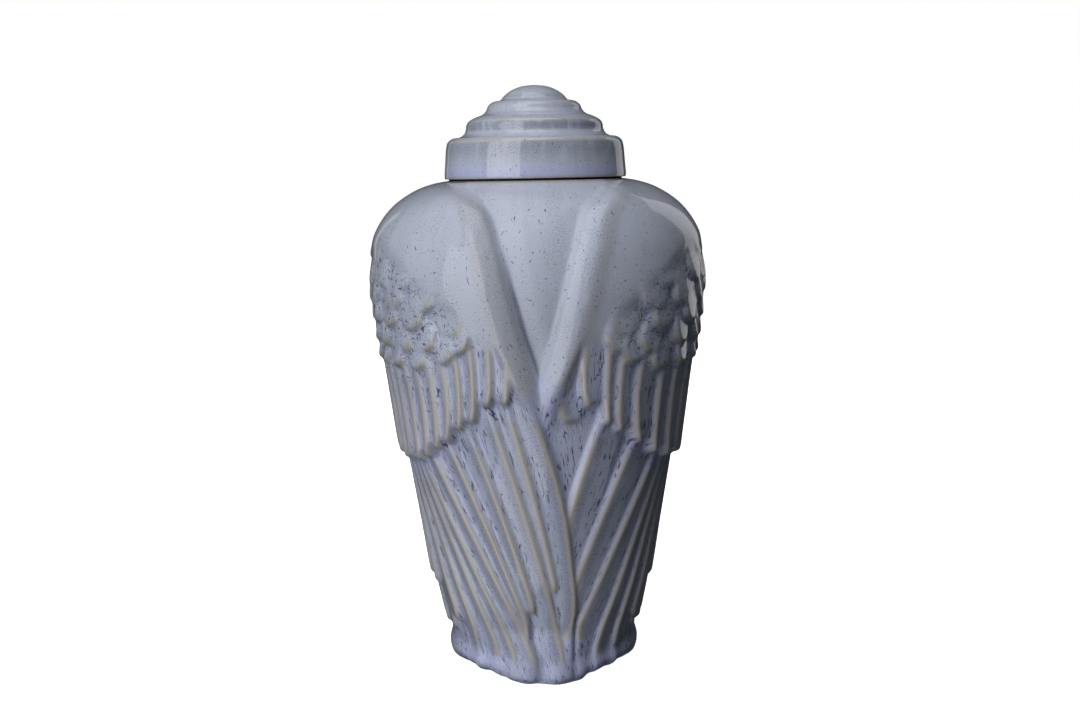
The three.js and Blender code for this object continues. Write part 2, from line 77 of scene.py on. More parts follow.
class Side(Enum):
    """The wing on the viewer's left or right, by the sign of its angles."""

    LEFT = -1
    RIGHT = 1

    def sheet(self, angles: np.ndarray, runs: np.ndarray) -> "Sheet":
        """The vessel's columns and rows as this wing has them, with angles that grow outwards."""
        return Sheet(self.value * angles[:: self.value], runs)

    def seen(self, values: np.ndarray) -> np.ndarray:
        """What was made on this wing's sheet, in the order of the vessel's columns."""
        return values[:, :: self.value]


# Curves and blends


def smooth_step(x: np.ndarray) -> np.ndarray:
    """Rises smoothly from 0 to 1 as x goes from 0 to 1."""
    t = np.clip(x, 0.0, 1.0)
    return t * t * (3.0 - 2.0 * t)


def ramp(x: np.ndarray, start: float, width: float) -> np.ndarray:
    """Rises smoothly from 0 at start to 1 a width further on. A width below 0 runs the other way."""
    return smooth_step((x - start) / width)


def along(stations: list[tuple[float, float]], x: np.ndarray) -> np.ndarray:
    """Reads a short list of (x, y) stations along straight lines."""
    xs, ys = zip(*stations)
    return np.interp(x, xs, ys)


def scatter(seed: float) -> float:
    """A repeatable number from 0 to 1 that differs from seed to seed."""
    return math.modf(abs(math.sin(seed * HASH_TURN) * HASH_SPREAD))[0]


def soft_max(a: np.ndarray, b: np.ndarray, crease: float) -> np.ndarray:
    """The larger of two heights, with a soft crease where they meet above the ground.

    Args:
        a: one height, in millimetres.
        b: the other height.
        crease: width of the crease.

    Returns:
        The joined height.
    """
    near = np.maximum(crease - np.abs(a - b), 0.0) ** 2 / (4.0 * crease)
    return np.maximum(a, b) + near * np.clip(np.minimum(a, b) / crease, 0.0, 1.0)


def hermite(xs: np.ndarray, ys: np.ndarray, x: np.ndarray) -> np.ndarray:
    """Reads a smooth curve through stations, straight beyond both ends.

    Args:
        xs: stations, growing.
        ys: the curve's value at each station.
        x: where to read it.

    Returns:
        The curve's values at x.
    """
    slopes = np.gradient(ys, xs)
    i = np.clip(np.searchsorted(xs, x) - 1, 0, len(xs) - 2)
    h = xs[i + 1] - xs[i]
    t = (x - xs[i]) / h
    y = (
        (2 * t**3 - 3 * t**2 + 1) * ys[i]
        + (t**3 - 2 * t**2 + t) * h * slopes[i]
        + (3 * t**2 - 2 * t**3) * ys[i + 1]
        + (t**3 - t**2) * h * slopes[i + 1]
    )
    y = np.where(x < xs[0], ys[0] + (x - xs[0]) * slopes[0], y)
    return np.where(x > xs[-1], ys[-1] + (x - xs[-1]) * slopes[-1], y)


def rounded_path(points: list[tuple[float, float]], steps: int) -> np.ndarray:
    """Rounds a list of stations into a centripetal curve that passes through each of them.

    Args:
        points: the stations.
        steps: points made on each span.

    Returns:
        The curve's points, one row each.
    """
    p = np.array(points, float)
    p = np.vstack([2 * p[0] - p[1], p, 2 * p[-1] - p[-2]])
    spans = []
    for i in range(1, len(p) - 2):
        p0, p1, p2, p3 = p[i - 1 : i + 3]
        gaps = [math.dist(a, b) ** 0.5 for a, b in ((p0, p1), (p1, p2), (p2, p3))]
        t1 = gaps[0]
        t2 = t1 + gaps[1]
        t3 = t2 + gaps[2]
        t = np.linspace(t1, t2, steps, endpoint=False)[:, None]
        a1 = (t1 - t) / t1 * p0 + t / t1 * p1
        a2 = (t2 - t) / gaps[1] * p1 + (t - t1) / gaps[1] * p2
        a3 = (t3 - t) / gaps[2] * p2 + (t - t2) / gaps[2] * p3
        b1 = (t2 - t) / t2 * a1 + t / t2 * a2
        b2 = (t3 - t) / (t3 - t1) * a2 + (t - t1) / (t3 - t1) * a3
        spans.append((t2 - t) / gaps[1] * b1 + (t - t1) / gaps[1] * b2)
    return np.vstack([*spans, p[-2]])


def soften(field_2d: np.ndarray, rows: float, columns: float) -> np.ndarray:
    """Blurs a field of rows and columns that closes on itself across its columns.

    Args:
        field_2d: the values.
        rows: spread along a column, in rows.
        columns: spread along a row, in columns.

    Returns:
        The blurred values.
    """
    out = field_2d
    for axis, spread, mode in ((0, rows, "edge"), (1, columns, "wrap")):
        reach = max(1, math.ceil(3 * spread))
        offsets = np.arange(-reach, reach + 1)
        weights = np.exp(-0.5 * (offsets / spread) ** 2)
        weights /= weights.sum()
        pad = [(0, 0), (0, 0)]
        pad[axis] = (reach, reach)
        wide = np.pad(out, pad, mode=mode)
        size = out.shape[axis]
        out = sum(w * np.take(wide, np.arange(k, k + size), axis=axis) for k, w in enumerate(weights))
    return out


# The vessel's carving


@dataclass
class Outline:
    """The vessel's outside without its wings, read by its run."""

    stations: list[tuple[float, float]]
    steps: int = 24
    curve: np.ndarray = field(init=False)
    runs: np.ndarray = field(init=False)
    normals: np.ndarray = field(init=False)

    def __post_init__(self) -> None:
        """Rounds the stations and measures the run and the outward direction of each point."""
        self.curve = rounded_path(self.stations, self.steps)
        lengths = np.linalg.norm(np.diff(self.curve, axis=0), axis=1)
        self.runs = np.concatenate([[0.0], np.cumsum(lengths)])
        tangent = np.gradient(self.curve, self.runs, axis=0)
        tangent /= np.linalg.norm(tangent, axis=1, keepdims=True)
        self.normals = np.stack([tangent[:, 1], -tangent[:, 0]], axis=1)

    @property
    def length(self) -> float:
        """Run of the top end."""
        return float(self.runs[-1])

    def run_at(self, height: float | np.ndarray) -> np.ndarray:
        """Run of a height."""
        return np.interp(height, self.curve[:, 1], self.runs)

    def radius(self, run: np.ndarray) -> np.ndarray:
        """Radius at a run."""
        return np.interp(run, self.runs, self.curve[:, 0])

    def height(self, run: np.ndarray) -> np.ndarray:
        """Height at a run."""
        return np.interp(run, self.runs, self.curve[:, 1])

    def normal(self, run: np.ndarray) -> tuple[np.ndarray, np.ndarray]:
        """Outward direction at a run, as its radial and upward shares."""
        return (
            np.interp(run, self.runs, self.normals[:, 0]),
            np.interp(run, self.runs, self.normals[:, 1]),
        )


VESSEL = Outline(
    [
        (49.5, 0), (53.2, 3), (54.2, 8), (52.8, 14.5), (54.2, 24), (59.6, 48), (65, 80), (70.8, 112),
        (79, 156), (85.6, 192), (88.4, 218), (85.2, 238), (77.2, 253), (65.8, 263), (56.5, 267.2),
        (50.2, 268.6),
    ]
)  # fmt: skip


@dataclass
class Sheet:
    """A grid of places on one side of the vessel: angles outwards from the front, and runs."""

    outward: np.ndarray
    runs: np.ndarray
    radius: np.ndarray = field(init=False)
    heights: np.ndarray = field(init=False)

    def __post_init__(self) -> None:
        """Reads the vessel at each run."""
        self.radius = VESSEL.radius(self.runs)
        self.heights = VESSEL.height(self.runs)

    def across(self, edge: "Edge", columns: slice = slice(None)) -> np.ndarray:
        """Measures how far each place lies outwards from an edge, square to it.

        Args:
            edge: the edge.
            columns: the columns to measure.

        Returns:
            Millimetres, by row and column.
        """
        turn = np.radians(edge.slope(self.runs)) * self.radius
        scale = np.radians(1.0) * self.radius / np.hypot(1.0, turn)
        return (self.outward[None, columns] - edge.angle(self.runs)[:, None]) * scale[:, None]


@dataclass
class Edge:
    """A line down the vessel, from stations of (angle outwards, height) in either order."""

    stations: list[tuple[float, float]]

    def angle(self, runs: np.ndarray) -> np.ndarray:
        """Angle of the line at each run."""
        heights, angles = zip(*sorted((height, angle) for angle, height in self.stations))
        return hermite(VESSEL.run_at(np.array(heights, float)), np.array(angles, float), runs)

    def slope(self, runs: np.ndarray) -> np.ndarray:
        """Degrees that the line turns for each millimetre of run."""
        return self.angle(runs + 0.5) - self.angle(runs - 0.5)


@dataclass
class Carving:
    """What is carved on a sheet so far: heights, and where the glaze breaks tan or thins to grey."""

    heights: np.ndarray
    tan: np.ndarray
    grey: np.ndarray
    crease: float = 0.8
    blend: float = 0.9

    @classmethod
    def blank(cls, sheet: Sheet) -> "Carving":
        """A carving with nothing on it yet."""
        shape = (len(sheet.runs), len(sheet.outward))
        return cls(*(np.zeros(shape) for _ in range(3)))

    def lay(self, rows: slice, columns: slice, own: np.ndarray, tan: np.ndarray, grey: np.ndarray) -> None:
        """Lays one form on the others, with its glaze where it is on top.

        Args:
            rows: rows that it covers.
            columns: columns that it covers.
            own: its heights.
            tan: where its glaze breaks tan, from 0 to 1.
            grey: where its glaze thins to grey, from 0 to 1.
        """
        before = self.heights[rows, columns]
        over = smooth_step((own - before) / self.blend + 0.5)
        for mask, value in ((self.tan, tan), (self.grey, grey)):
            mask[rows, columns] += (value - mask[rows, columns]) * over
        self.heights[rows, columns] = soft_max(before, own, self.crease)


# A feather is worked out on the columns within SLACK degrees of it, with its width taken at LEAST_RADIUS
LEAST_RADIUS = 45.0
SLACK = 8.0


@dataclass
class Feather:
    """A long feather: a crest along its leading edge, falling away outwards, and a rounded tip."""

    stations: list[tuple[float, float]]
    width: float
    floor: tuple[float, float]
    rise: tuple[float, float]
    rounding: float
    lip: float = 2.6
    nose: float = 0.32
    fall: float = 1.25
    root: float = 18.0
    tan_width: float = 3.2
    grey_width: float = 8.0
    covered: float = 16.0
    tan_from: Ramp = (-0.9, 1.2)
    grey_from: Ramp = (1.2, 1.8)
    tan_fade: float = 1.8
    grey_fade: float = 5.0
    bare_fade: float = 12.0

    def lay_on(self, carving: Carving, sheet: Sheet) -> None:
        """Lays this feather on a carving.

        Args:
            carving: the carving, changed in place.
            sheet: the carving's places.
        """
        angles = [angle for angle, _ in self.stations]
        ends = [float(VESSEL.run_at(height)) for _, height in self.stations]
        tip, top = min(ends), max(ends)
        reach = math.degrees(self.width / LEAST_RADIUS) + SLACK
        columns = slice(*np.searchsorted(sheet.outward, (min(angles) - SLACK, max(angles) + reach)))
        if columns.start >= columns.stop:
            return
        across = sheet.across(Edge(self.stations), columns)
        turn = np.clip(1.0 - (sheet.runs - tip) / self.rounding, 0.0, 1.0)
        close = (1.0 - np.sqrt(np.maximum(1.0 - turn**2, 0.0)))[:, None]
        low = self.nose * self.width * close
        high = self.width * (1.0 - (1.0 - self.nose) * close)
        share = np.clip((across - low) / np.maximum(high - low, 1.0), 0.0, 1.0)
        down = np.clip((top - sheet.runs) / (top - tip), 0.0, 1.0)[:, None]
        sides = smooth_step((across - low) / self.lip + 0.75) * smooth_step((high - across) / self.lip + 0.25)
        both_ends = smooth_step((sheet.runs - tip) / self.lip + 0.1)
        both_ends *= smooth_step((top - sheet.runs) / self.root + 1.0)
        floor = self.floor[0] + (self.floor[1] - self.floor[0]) * down
        rise = self.rise[0] + (self.rise[1] - self.rise[0]) * down
        own = (floor + rise * (1.0 - share) ** self.fall) * sides * both_ends[:, None]
        bare = ramp(sheet.runs, top - self.covered, -self.bare_fade)[:, None]
        inward = across - low
        tan = ramp(inward, *self.tan_from) * ramp(inward, 0.4 + self.tan_width * bare, -self.tan_fade)
        grey = ramp(inward, *self.grey_from) * ramp(inward, self.grey_width, -self.grey_fade)
        carving.lay(slice(None), columns, own, tan * bare, grey * bare)


@dataclass
class Scale:
    """A small feather shaped as a rounded scale, raised towards its tip."""

    angle: float
    height: float
    width: float
    length: float
    floor: float
    rise: float
    tilt: float
    tan_share: float
    reach: float = 2.6
    mark_place: tuple[float, float] = (2.8, 1.2)
    mark_size: tuple[float, float] = (1.9, 6.4)
    rim: tuple[Ramp, Ramp] = ((-0.6, 1.2), (4.2, -3.0))
    tipward: Ramp = (-2.0, 4.0)

    def lay_on(self, carving: Carving, sheet: Sheet) -> None:
        """Lays this scale on a carving.

        Args:
            carving: the carving, changed in place.
            sheet: the carving's places.
        """
        run = float(VESSEL.run_at(self.height))
        reach = self.reach * self.length
        rows = slice(*np.searchsorted(sheet.runs, (run - reach, run + reach)))
        spread = math.degrees(reach / float(VESSEL.radius(run)))
        columns = slice(*np.searchsorted(sheet.outward, (self.angle - spread, self.angle + spread)))
        if columns.start >= columns.stop or rows.start >= rows.stop:
            return
        x = np.radians(sheet.outward[None, columns] - self.angle) * sheet.radius[rows, None]
        y = (sheet.runs[rows] - run)[:, None]
        tilt = math.radians(self.tilt)
        forward = -x * math.sin(tilt) - y * math.cos(tilt)
        sideways = -x * math.cos(tilt) + y * math.sin(tilt)
        away = np.hypot(sideways / self.width, (forward + self.length / 2) / (self.length * 1.15))
        inside = (1.0 - away) * min(self.width, self.length)
        raised = np.clip((forward + self.length * 1.4) / (self.length * 2), 0.0, 1.0)
        own = (self.floor + self.rise * raised**1.2) * smooth_step(inside / 3.6 + 0.3)
        ahead = (forward - self.mark_place[0]) / self.mark_size[0]
        aside = (sideways - self.mark_place[1]) / self.mark_size[1]
        tan = self.tan_share * smooth_step(2.6 * (1 - np.hypot(ahead, aside)))
        rim = ramp(inside, *self.rim[0]) * ramp(inside, *self.rim[1]) * ramp(forward, *self.tipward)
        carving.lay(rows, columns, own, tan, self.tan_share * rim)


# Lines across a wing, each by (angle outwards, height)
LEADING_EDGE = Edge([(-1, 162), (1.5, 176), (4.5, 190), (8, 211), (12.5, 236), (20, 256), (31, 264)])
COVERT_TIPS = [(8, 160), (16, 154), (23, 144), (33, 137), (40, 129), (52, 121), (70, 118), (180, 118)]
COVERT_ROOTS = [
    (-5, 166), (4, 168), (9, 178), (14, 195), (20, 198), (26, 192), (34, 182), (50, 174), (62, 168),
    (180, 166),
]  # fmt: skip
SCALE_CEILING = [(18, 200), (28, 207), (40, 219), (49, 228), (60, 235), (180, 236)]
# How far a long feather turns with each millimetre of height, by its angle at the waist
QUILL_SLANT = [
    (-17, 0.15), (-8, 0.17), (-2, 0.21), (7, 0.24), (14, 0.3), (22, 0.4), (30, 0.4), (40, 0.33), (54, 0.22),
    (80, 0.1), (120, 0.05), (180, 0),
]  # fmt: skip
# The scale feathers: tilt by angle, tan glaze by row, each row's first angle, degrees apart, lowest height
SCALE_TILT = [(20, 54), (40, 44), (60, 30), (90, 12), (180, 0)]
SCALE_TAN = [(1, 1), (3, 0.5), (4, 0.1), (5, 0)]
SCALE_STARTS = (31.0, 24.5, 28.0, 38.0, 46.0, 52.0)
SCALE_PITCH = 11.5
FIRST_SCALES = 178.0
# The height where the long feathers are counted
WAIST = 60.0


@dataclass
class Wing:
    """One folded wing. Each feather is a covert's angle, then its quill's angle at the waist and its tip."""

    side: Side
    feathers: list[tuple[float, ...]]
    first_quill: Feather
    seed: float
    last_pitch: float = 14.0
    shoulder_height: float = 5.4
    ridge_width: float = 11.0
    ridge_crest: float = 0.9
    lip_share: float = 0.3
    ridge_spread: float = 5.5
    band_from: float = 0.0
    band_width: float = 16.0
    scale_size: float = 1.0
    quill_share: float = 1.0
    quill_grey: float = 8.0
    quill_tuck: tuple[float, float] = (18.0, 14.0)
    quill_overlap: float = 1.35
    quill_widths: tuple[float, float] = (9.0, 19.0)
    first_root: float = 13.0
    covert_tuck: float = 6.0
    covert_overlap: float = 1.25
    tip_jitter: float = 4.0
    scale_jitter: tuple[float, float, float] = (2.4, 2.5, 1.5)
    scale_shape: tuple[float, float] = (8.4, 7.4)
    first_lift: float = 5.0

    def quills(self) -> list[Feather]:
        """Places the long feathers that reach down to the foot.

        Returns:
            The feathers.
        """
        found = []
        leads = [tuple(row[1:]) for row in self.feathers if len(row) > 1]
        for i, (lead, tip) in enumerate(leads):
            after = leads[i + 1][0] if i + 1 < len(leads) else lead + self.last_pitch
            gap = math.radians(after - lead) * float(VESSEL.radius(VESSEL.run_at(WAIST)))
            slant = float(along(QUILL_SLANT, lead))
            top = float(along(COVERT_TIPS, lead + self.quill_tuck[0])) + self.quill_tuck[1]
            stations = [(lead + slant * (z - WAIST), z) for z in np.linspace(top, tip, 4)]
            rise = (3.0 + 0.6 * min(max(lead / 60.0, 0.0), 1.0)) * self.quill_share
            width = float(np.clip(gap * self.quill_overlap, *self.quill_widths))
            found.append(
                Feather(
                    stations, width, (1.0, 1.5), (2.3 * self.quill_share, rise), rounding=14, lip=3.2,
                    grey_width=self.quill_grey,
                )  # fmt: skip
            )
        return found

    def under_row(self) -> list[Feather]:
        """Short feathers that fill the space under the quills at the sides and the back."""
        return [
            Feather([(a + 1.5, 70), (a, 21)], 15, (0.6, 1.0), (1.0, 2.2), rounding=9)
            for a in np.arange(60.0, 180.0, 12.0)
        ]

    def coverts(self) -> list[Feather]:
        """Places the soft ridges between the scales and the quills.

        Returns:
            The feathers.
        """
        found = []
        leads = [row[0] for row in self.feathers]
        for i, lead in enumerate(leads):
            after = leads[i + 1] if i + 1 < len(leads) else lead + self.last_pitch
            top = float(along(COVERT_ROOTS, max(lead, self.first_root))) + self.covert_tuck
            tip = float(along(COVERT_TIPS, lead)) + (scatter(lead) - 0.5) * self.tip_jitter
            middle = (top + tip) / 2
            bow = (1.2 if lead < 40 else 0.4) + (scatter(lead + 0.5) - 0.5) * 2.4
            sway = (scatter(lead + 0.7) - 0.5) * 1.4
            lower = smooth_step(np.array((40 - lead) / 20)) * 0.9
            gap = math.radians(after - lead) * float(VESSEL.radius(VESSEL.run_at(middle)))
            stations = [(lead, top), (lead - bow / 2, middle), (lead + 0.6 + sway, tip)]
            found.append(
                Feather(
                    stations, gap * self.covert_overlap, (3.4, 4.2 - lower), (1.6, 4.4 - lower),
                    rounding=12, lip=2.8, nose=0.3, grey_width=6.5, covered=6.0,
                )  # fmt: skip
            )
        return found

    def scales(self) -> list[Scale]:
        """Places rows of small feathers above the coverts, each row starting further out.

        Returns:
            The feathers.
        """
        found = []
        turn, rise, swell = self.scale_jitter
        width, length = self.scale_shape
        for row, start in enumerate(SCALE_STARTS):
            size = self.scale_size * (1 + 0.07 * row)
            for angle in np.arange(start, 180.0, SCALE_PITCH * size):
                jitter = scatter(angle + 3 * row + self.seed) - 0.5
                lift = self.first_lift if row == 0 and angle == start else 0.0
                height = FIRST_SCALES + (9.0 + 1.2 * size) * row + lift + jitter * rise
                if height > float(along(SCALE_CEILING, angle)):
                    continue
                scale = Scale(
                    angle=angle + jitter * turn,
                    height=height,
                    width=(width + jitter * swell) * size,
                    length=length * size,
                    floor=3.0,
                    rise=4.4 * self.scale_size * (1 - 0.12 * row) + jitter,
                    tilt=float(along(SCALE_TILT, angle)),
                    tan_share=float(along(SCALE_TAN, row + jitter)),
                )
                found.append(scale)
        return found

    def lay_shoulder(self, carving: Carving, sheet: Sheet) -> None:
        """Lays the smooth shoulder behind the leading edge on a carving, with a rounded ridge along it.

        Args:
            carving: the carving, changed in place.
            sheet: the carving's places.
        """
        across = sheet.across(LEADING_EDGE)
        rounded = np.sin(np.pi / 2 * np.clip(across / self.ridge_width, 0.0, 1.0))
        up = rounded + (smooth_step(across / 1.6 + 0.3) - rounded) * self.lip_share
        ridge = self.ridge_crest * np.exp(-(((across - self.ridge_width) / self.ridge_spread) ** 2))
        fade = 34 + 26 * ramp(sheet.outward, 30, 40)
        top = smooth_step((VESSEL.length - sheet.runs[:, None]) / fade[None, :])
        root = VESSEL.run_at(along(COVERT_ROOTS, sheet.outward))[None, :]
        low_fade = 22 + 10 * (1 - ramp(sheet.outward, 22, 12))
        low = smooth_step((sheet.runs[:, None] - root) / low_fade[None, :] + 1)
        sunk = VESSEL.run_at(along(SCALE_CEILING, sheet.outward))[None, :] + 4 - sheet.runs[:, None]
        low = low * (1 - 0.45 * smooth_step(sunk / 16) * ramp(sheet.outward, 20, 12)[None, :])
        own = (self.shoulder_height + ridge) * up * top * low
        inward = across - self.band_from
        band = ramp(inward, 0, 3) * ramp(inward, self.band_width, -5) * top
        band *= ramp(sheet.heights, 156, 16)[:, None]
        lower = ramp(sheet.heights, 215, -60)[:, None]
        carving.lay(slice(None), slice(None), own, band * (0.2 + 0.2 * lower), band * (0.25 + 0.3 * lower))

    def relief(self, angles: np.ndarray, runs: np.ndarray) -> Carving:
        """Carves this wing.

        Args:
            angles: angles of the vessel's columns, growing.
            runs: runs of its rows, growing.

        Returns:
            The carving, in the order of the vessel's columns.
        """
        sheet = self.side.sheet(angles, runs)
        carving = Carving.blank(sheet)
        for feather in [*self.under_row(), *self.quills(), self.first_quill]:
            feather.lay_on(carving, sheet)
        self.lay_shoulder(carving, sheet)
        for feather in [*self.coverts(), *self.scales()]:
            feather.lay_on(carving, sheet)
        parts = (carving.heights, carving.tan, carving.grey)
        return Carving(*(self.side.seen(part) for part in parts))


def flow_angle(outward: np.ndarray, heights: np.ndarray) -> np.ndarray:
    """Follows the quills down from each place to the waist, so that a pattern can run along them.

    Args:
        outward: angles outwards from the front, a row.
        heights: heights, a column.

    Returns:
        The angle at the waist of the line through each place.
    """
    tips = along(COVERT_TIPS, outward)[None, :]
    drop = np.minimum(heights[:, None], tips + 10) - WAIST
    lead = np.broadcast_to(outward[None, :], drop.shape)
    for _ in range(4):
        lead = outward[None, :] - along(QUILL_SLANT, lead) * drop
    return lead


# Radii at which the glaze's places and the columns are measured, and how far apart the wings' patterns are
FLOW_RADIUS = 72.0
SKIN_RADIUS = 85.0
PITCH_RADIUS = 80.0
WING_SHIFT = 40.0


@dataclass
class UrnBody:
    """The cast vessel with both wings, hollow and open at the mouth, kept inside limits on each axis."""

    limits: tuple[np.ndarray, np.ndarray]
    columns: int = 460
    rows: int = 196
    front_density: float = 0.32
    wall: float = 6.5
    floor_thickness: float = 9.0
    mouth_radius: float = 38.0
    neck_depth: float = 7.5
    seat_radius: float = 47.6
    seat_rise: float = 0.36
    foot_ring: float = 5.0
    foot_recess: float = 1.2
    shoulder_inside: float = 258.0
    corner: float = 8.0
    glaze_depth: float = 1.0
    trim: float = 0.25
    drape_loss: float = 0.06
    drape_blur: float = 3.0
    foot_tuck: float = 4.0
    foot_drips: tuple[tuple[float, float, float], ...] = (
        (7, 6, 1.6), (-11, 4, 1.0), (-4, 3, -1.0), (22, 4, 0.7),
    )  # fmt: skip
    chest_valley: tuple[float, float] = (2.2, 0.6)
    valley_width: float = 9.0
    valley_ends: tuple[Ramp, Ramp] = ((165, 20), (264, -14))
    # Where the painted shade beside the left leading ridge lies: across the ridge's edge, and its ends by
    # height
    painted_shade_place: tuple[float, float] = (-0.9, 0.9)
    painted_shade_ends: tuple[Ramp, Ramp] = ((166, 12), (236, -30))
    chest_from: Ramp = (160, 8)
    dull_foot: Ramp = (48, -18)
    dull_front: Ramp = (50, -20)
    stream: tuple[float, float] = (1, 6)
    stream_ends: tuple[Ramp, Ramp] = ((112, 30), (176, -12))
    foot_pool: Ramp = (52, -46)
    foot_curls: tuple[Ramp, Ramp] = ((27, -8), (44, 10))
    runny_foot: Ramp = (6, 16)
    seat_tan: Ramp = (266.6, 1.4)
    flare_radius: float = 56.0
    flare: Ramp = (38, -16)
    flare_front: Ramp = (40, -34)
    tuck: Ramp = (8, -8)
    tuck_sides: tuple[Ramp, Ramp] = ((18, 15), (75, -20))
    drip_fade: Ramp = (16, -14)
    drape_top: float = 34.0
    drape_front: Ramp = (56, -16)
    melt: Ramp = (26, -20)

    def wings(self) -> tuple[Wing, Wing]:
        """Lists both wings' feathers.

        Returns:
            The left wing, whose first quill lies over the right wing, and the right wing.
        """
        left = Wing(
            Side.LEFT,
            [
                (10,), (16, -6.5, 52), (22, -2, 10), (28, 7, 40), (34, 14.5, 30), (39.5,), (46, 21.5, 7),
                (52.5, 31, 12), (59, 38, 14), (66, 47, 20), (73.5, 56, 28), (82, 68, 46), (91, 80, 47),
                (101, 95, 46), (112, 108, 47), (124, 121, 46), (137, 135, 47), (151, 150, 46), (166, 165, 47),
            ],
            Feather(
                [(8, 172), (3.4, 158), (0, 146), (-5, 125), (-9, 106), (-12.2, 84), (-15, 60), (-16.4, 45),
                 (-15, 27)],
                17, (1, 1.6), (2.8, 3.6), rounding=14, nose=0.22,
            ),
            seed=0, scale_size=1.1,
        )  # fmt: skip
        right = Wing(
            Side.RIGHT,
            [
                (15, 3, 40), (23,), (28.5,), (36.5, 15.5, 38), (47,), (56.5, 28.5, 24), (66.5, 42, 10),
                (76, 52, 14), (86, 62, 26), (97, 76, 46), (109, 90, 47), (122, 104, 46), (136, 120, 47),
                (151, 138, 46), (166, 158, 47),
            ],
            Feather(
                [(9.5, 184), (6.4, 165), (6.4, 157), (8, 146)],
                15, (0.8, 0.8), (3.4, 1.6), rounding=12, nose=0.3,
            ),
            seed=7, band_from=8.0, band_width=13.0, scale_size=1.25, quill_share=0.75,
            quill_grey=9.5,
        )  # fmt: skip
        return left, right

    def angles(self) -> np.ndarray:
        """Angles of the columns, closer together at the front, where the carving is finest."""
        share = np.linspace(-1, 1, self.columns, endpoint=False)
        return 180.0 * (share - self.front_density * np.sin(np.pi * share) / np.pi)

    def relief(self, angles: np.ndarray, runs: np.ndarray) -> tuple[Carving, np.ndarray]:
        """Carves both wings.

        Args:
            angles: angles of the columns, growing.
            runs: runs of the rows, growing.

        Returns:
            The carving, and 1 where the left wing is on top.
        """
        left, right = self.wings()
        radius = VESSEL.radius(runs)[:, None]
        heights = VESSEL.height(runs)[:, None]
        left_part, right_part = left.relief(angles, runs), right.relief(angles, runs)
        ends = [float(VESSEL.run_at(left.first_quill.stations[k][1])) for k in (-1, 0)]
        seam = np.maximum(-Edge(left.first_quill.stations).angle(np.clip(runs, *ends)), 0.0)[:, None]

        def opening(degrees: np.ndarray) -> np.ndarray:
            """Rises from 0 to 1 over the first millimetres of an angle."""
            return smooth_step(np.radians(degrees) * radius / 2.2 + 0.6)

        left_height = left_part.heights * np.where(heights > 150, opening(1.0 - angles[None, :]), 1.0)
        right_height = right_part.heights * opening(angles[None, :] - seam)
        on_left = left_height >= right_height
        joined = Carving(
            np.maximum(left_height, right_height),
            np.where(on_left, left_part.tan, right_part.tan),
            np.where(on_left, left_part.grey, right_part.grey),
        )
        return joined, on_left.astype(float)

    def outside(self) -> tuple[np.ndarray, dict[str, np.ndarray]]:
        """The carved outside as a grid of points, from the ground up, with the glaze's masks.

        Returns:
            Points by row and column, and one value or vector for each of them by mask name.
        """
        angles = self.angles()
        runs = np.linspace(0.0, VESSEL.length, self.rows)
        carving, on_left = self.relief(angles, runs)
        pitch = VESSEL.length / (self.rows - 1)
        step = 2 * math.pi * PITCH_RADIUS / self.columns * (1 - 0.6 * self.front_density)

        def spread(values: np.ndarray, size: float) -> np.ndarray:
            """Blurs a field by a number of millimetres."""
            return soften(values, size / pitch, size / step)

        z = VESSEL.height(runs)[:, None]
        carved = self.drape(carving.heights, angles, z[:, 0]) - self.valley(angles, runs)
        height = spread(carved, self.glaze_depth)
        radius = VESSEL.radius(runs)[:, None]
        nr, nz = (part[:, None] for part in VESSEL.normal(runs))
        low = height * smooth_step(z / 6 + 0.35) - self.trim
        r = radius + self.skirt(angles, z, radius) + nr * low
        up = z + nz * low * smooth_step(z / 6)
        turn = np.radians(angles)[None, :]
        points = np.stack([r * np.sin(turn), -r * np.cos(turn), up + 0 * turn], axis=-1)
        lead = np.where(on_left > 0.5, flow_angle(-angles, z[:, 0]), flow_angle(angles, z[:, 0]))
        down = runs[:, None] + 0 * turn
        runny = 0.35 + 0.65 * ramp(z, *self.runny_foot)
        masks = {
            "tan": np.maximum(spread(carving.tan, 0.6) * runny, 0.7 * ramp(z, *self.seat_tan)),
            "grey": spread(carving.grey, 0.6) * runny,
            # painted shade in the corner where the left leading ridge shades the chest
            "painted_ridge_shade": self.painted_ridge_shade(angles, runs),
            "dull": self.dull(angles, runs),
            "flow": np.stack([np.radians(lead) * FLOW_RADIUS, down, on_left * WING_SHIFT], axis=-1),
            "skin": np.stack([turn * SKIN_RADIUS + 0 * z, down, 0 * down], axis=-1),
        }
        return np.clip(points, *self.limits), masks | self.wet(spread(carved, 2.6) - height, angles, z)

    def wet(self, hollow: np.ndarray, angles: np.ndarray, z: np.ndarray) -> dict[str, np.ndarray]:
        """Where the glaze runs along feathers, curls over scales and pools.

        Args:
            hollow: how deep each place lies under its surroundings.
            angles: angles of the columns.
            z: heights, a column.

        Returns:
            The masks lined, curled and pool.
        """
        out = np.abs(angles)[None, :]
        lined = ramp(z, along(COVERT_ROOTS, out) - 2, -10)
        curled = ramp(z, along(SCALE_CEILING, out) + 5, -14) * ramp(out, 20, 12) * (1 - lined)
        curled = np.maximum(curled, 0.9 * ramp(z, *self.foot_curls[0]) * ramp(out, *self.foot_curls[1]))
        hollows = np.clip(hollow / 0.75, 0, 1) * (0.15 + 0.85 * np.maximum(lined, 0.55 * curled))
        foot = 0.85 * ramp(z, *self.foot_pool)
        at, half = self.stream
        low, high = (ramp(z, *end) for end in self.stream_ends)
        stream = 0.9 * np.exp(-(((angles[None, :] - at) / half) ** 2)) * low * high
        return {"lined": lined, "curled": curled, "pool": np.maximum(hollows, np.maximum(foot, stream))}

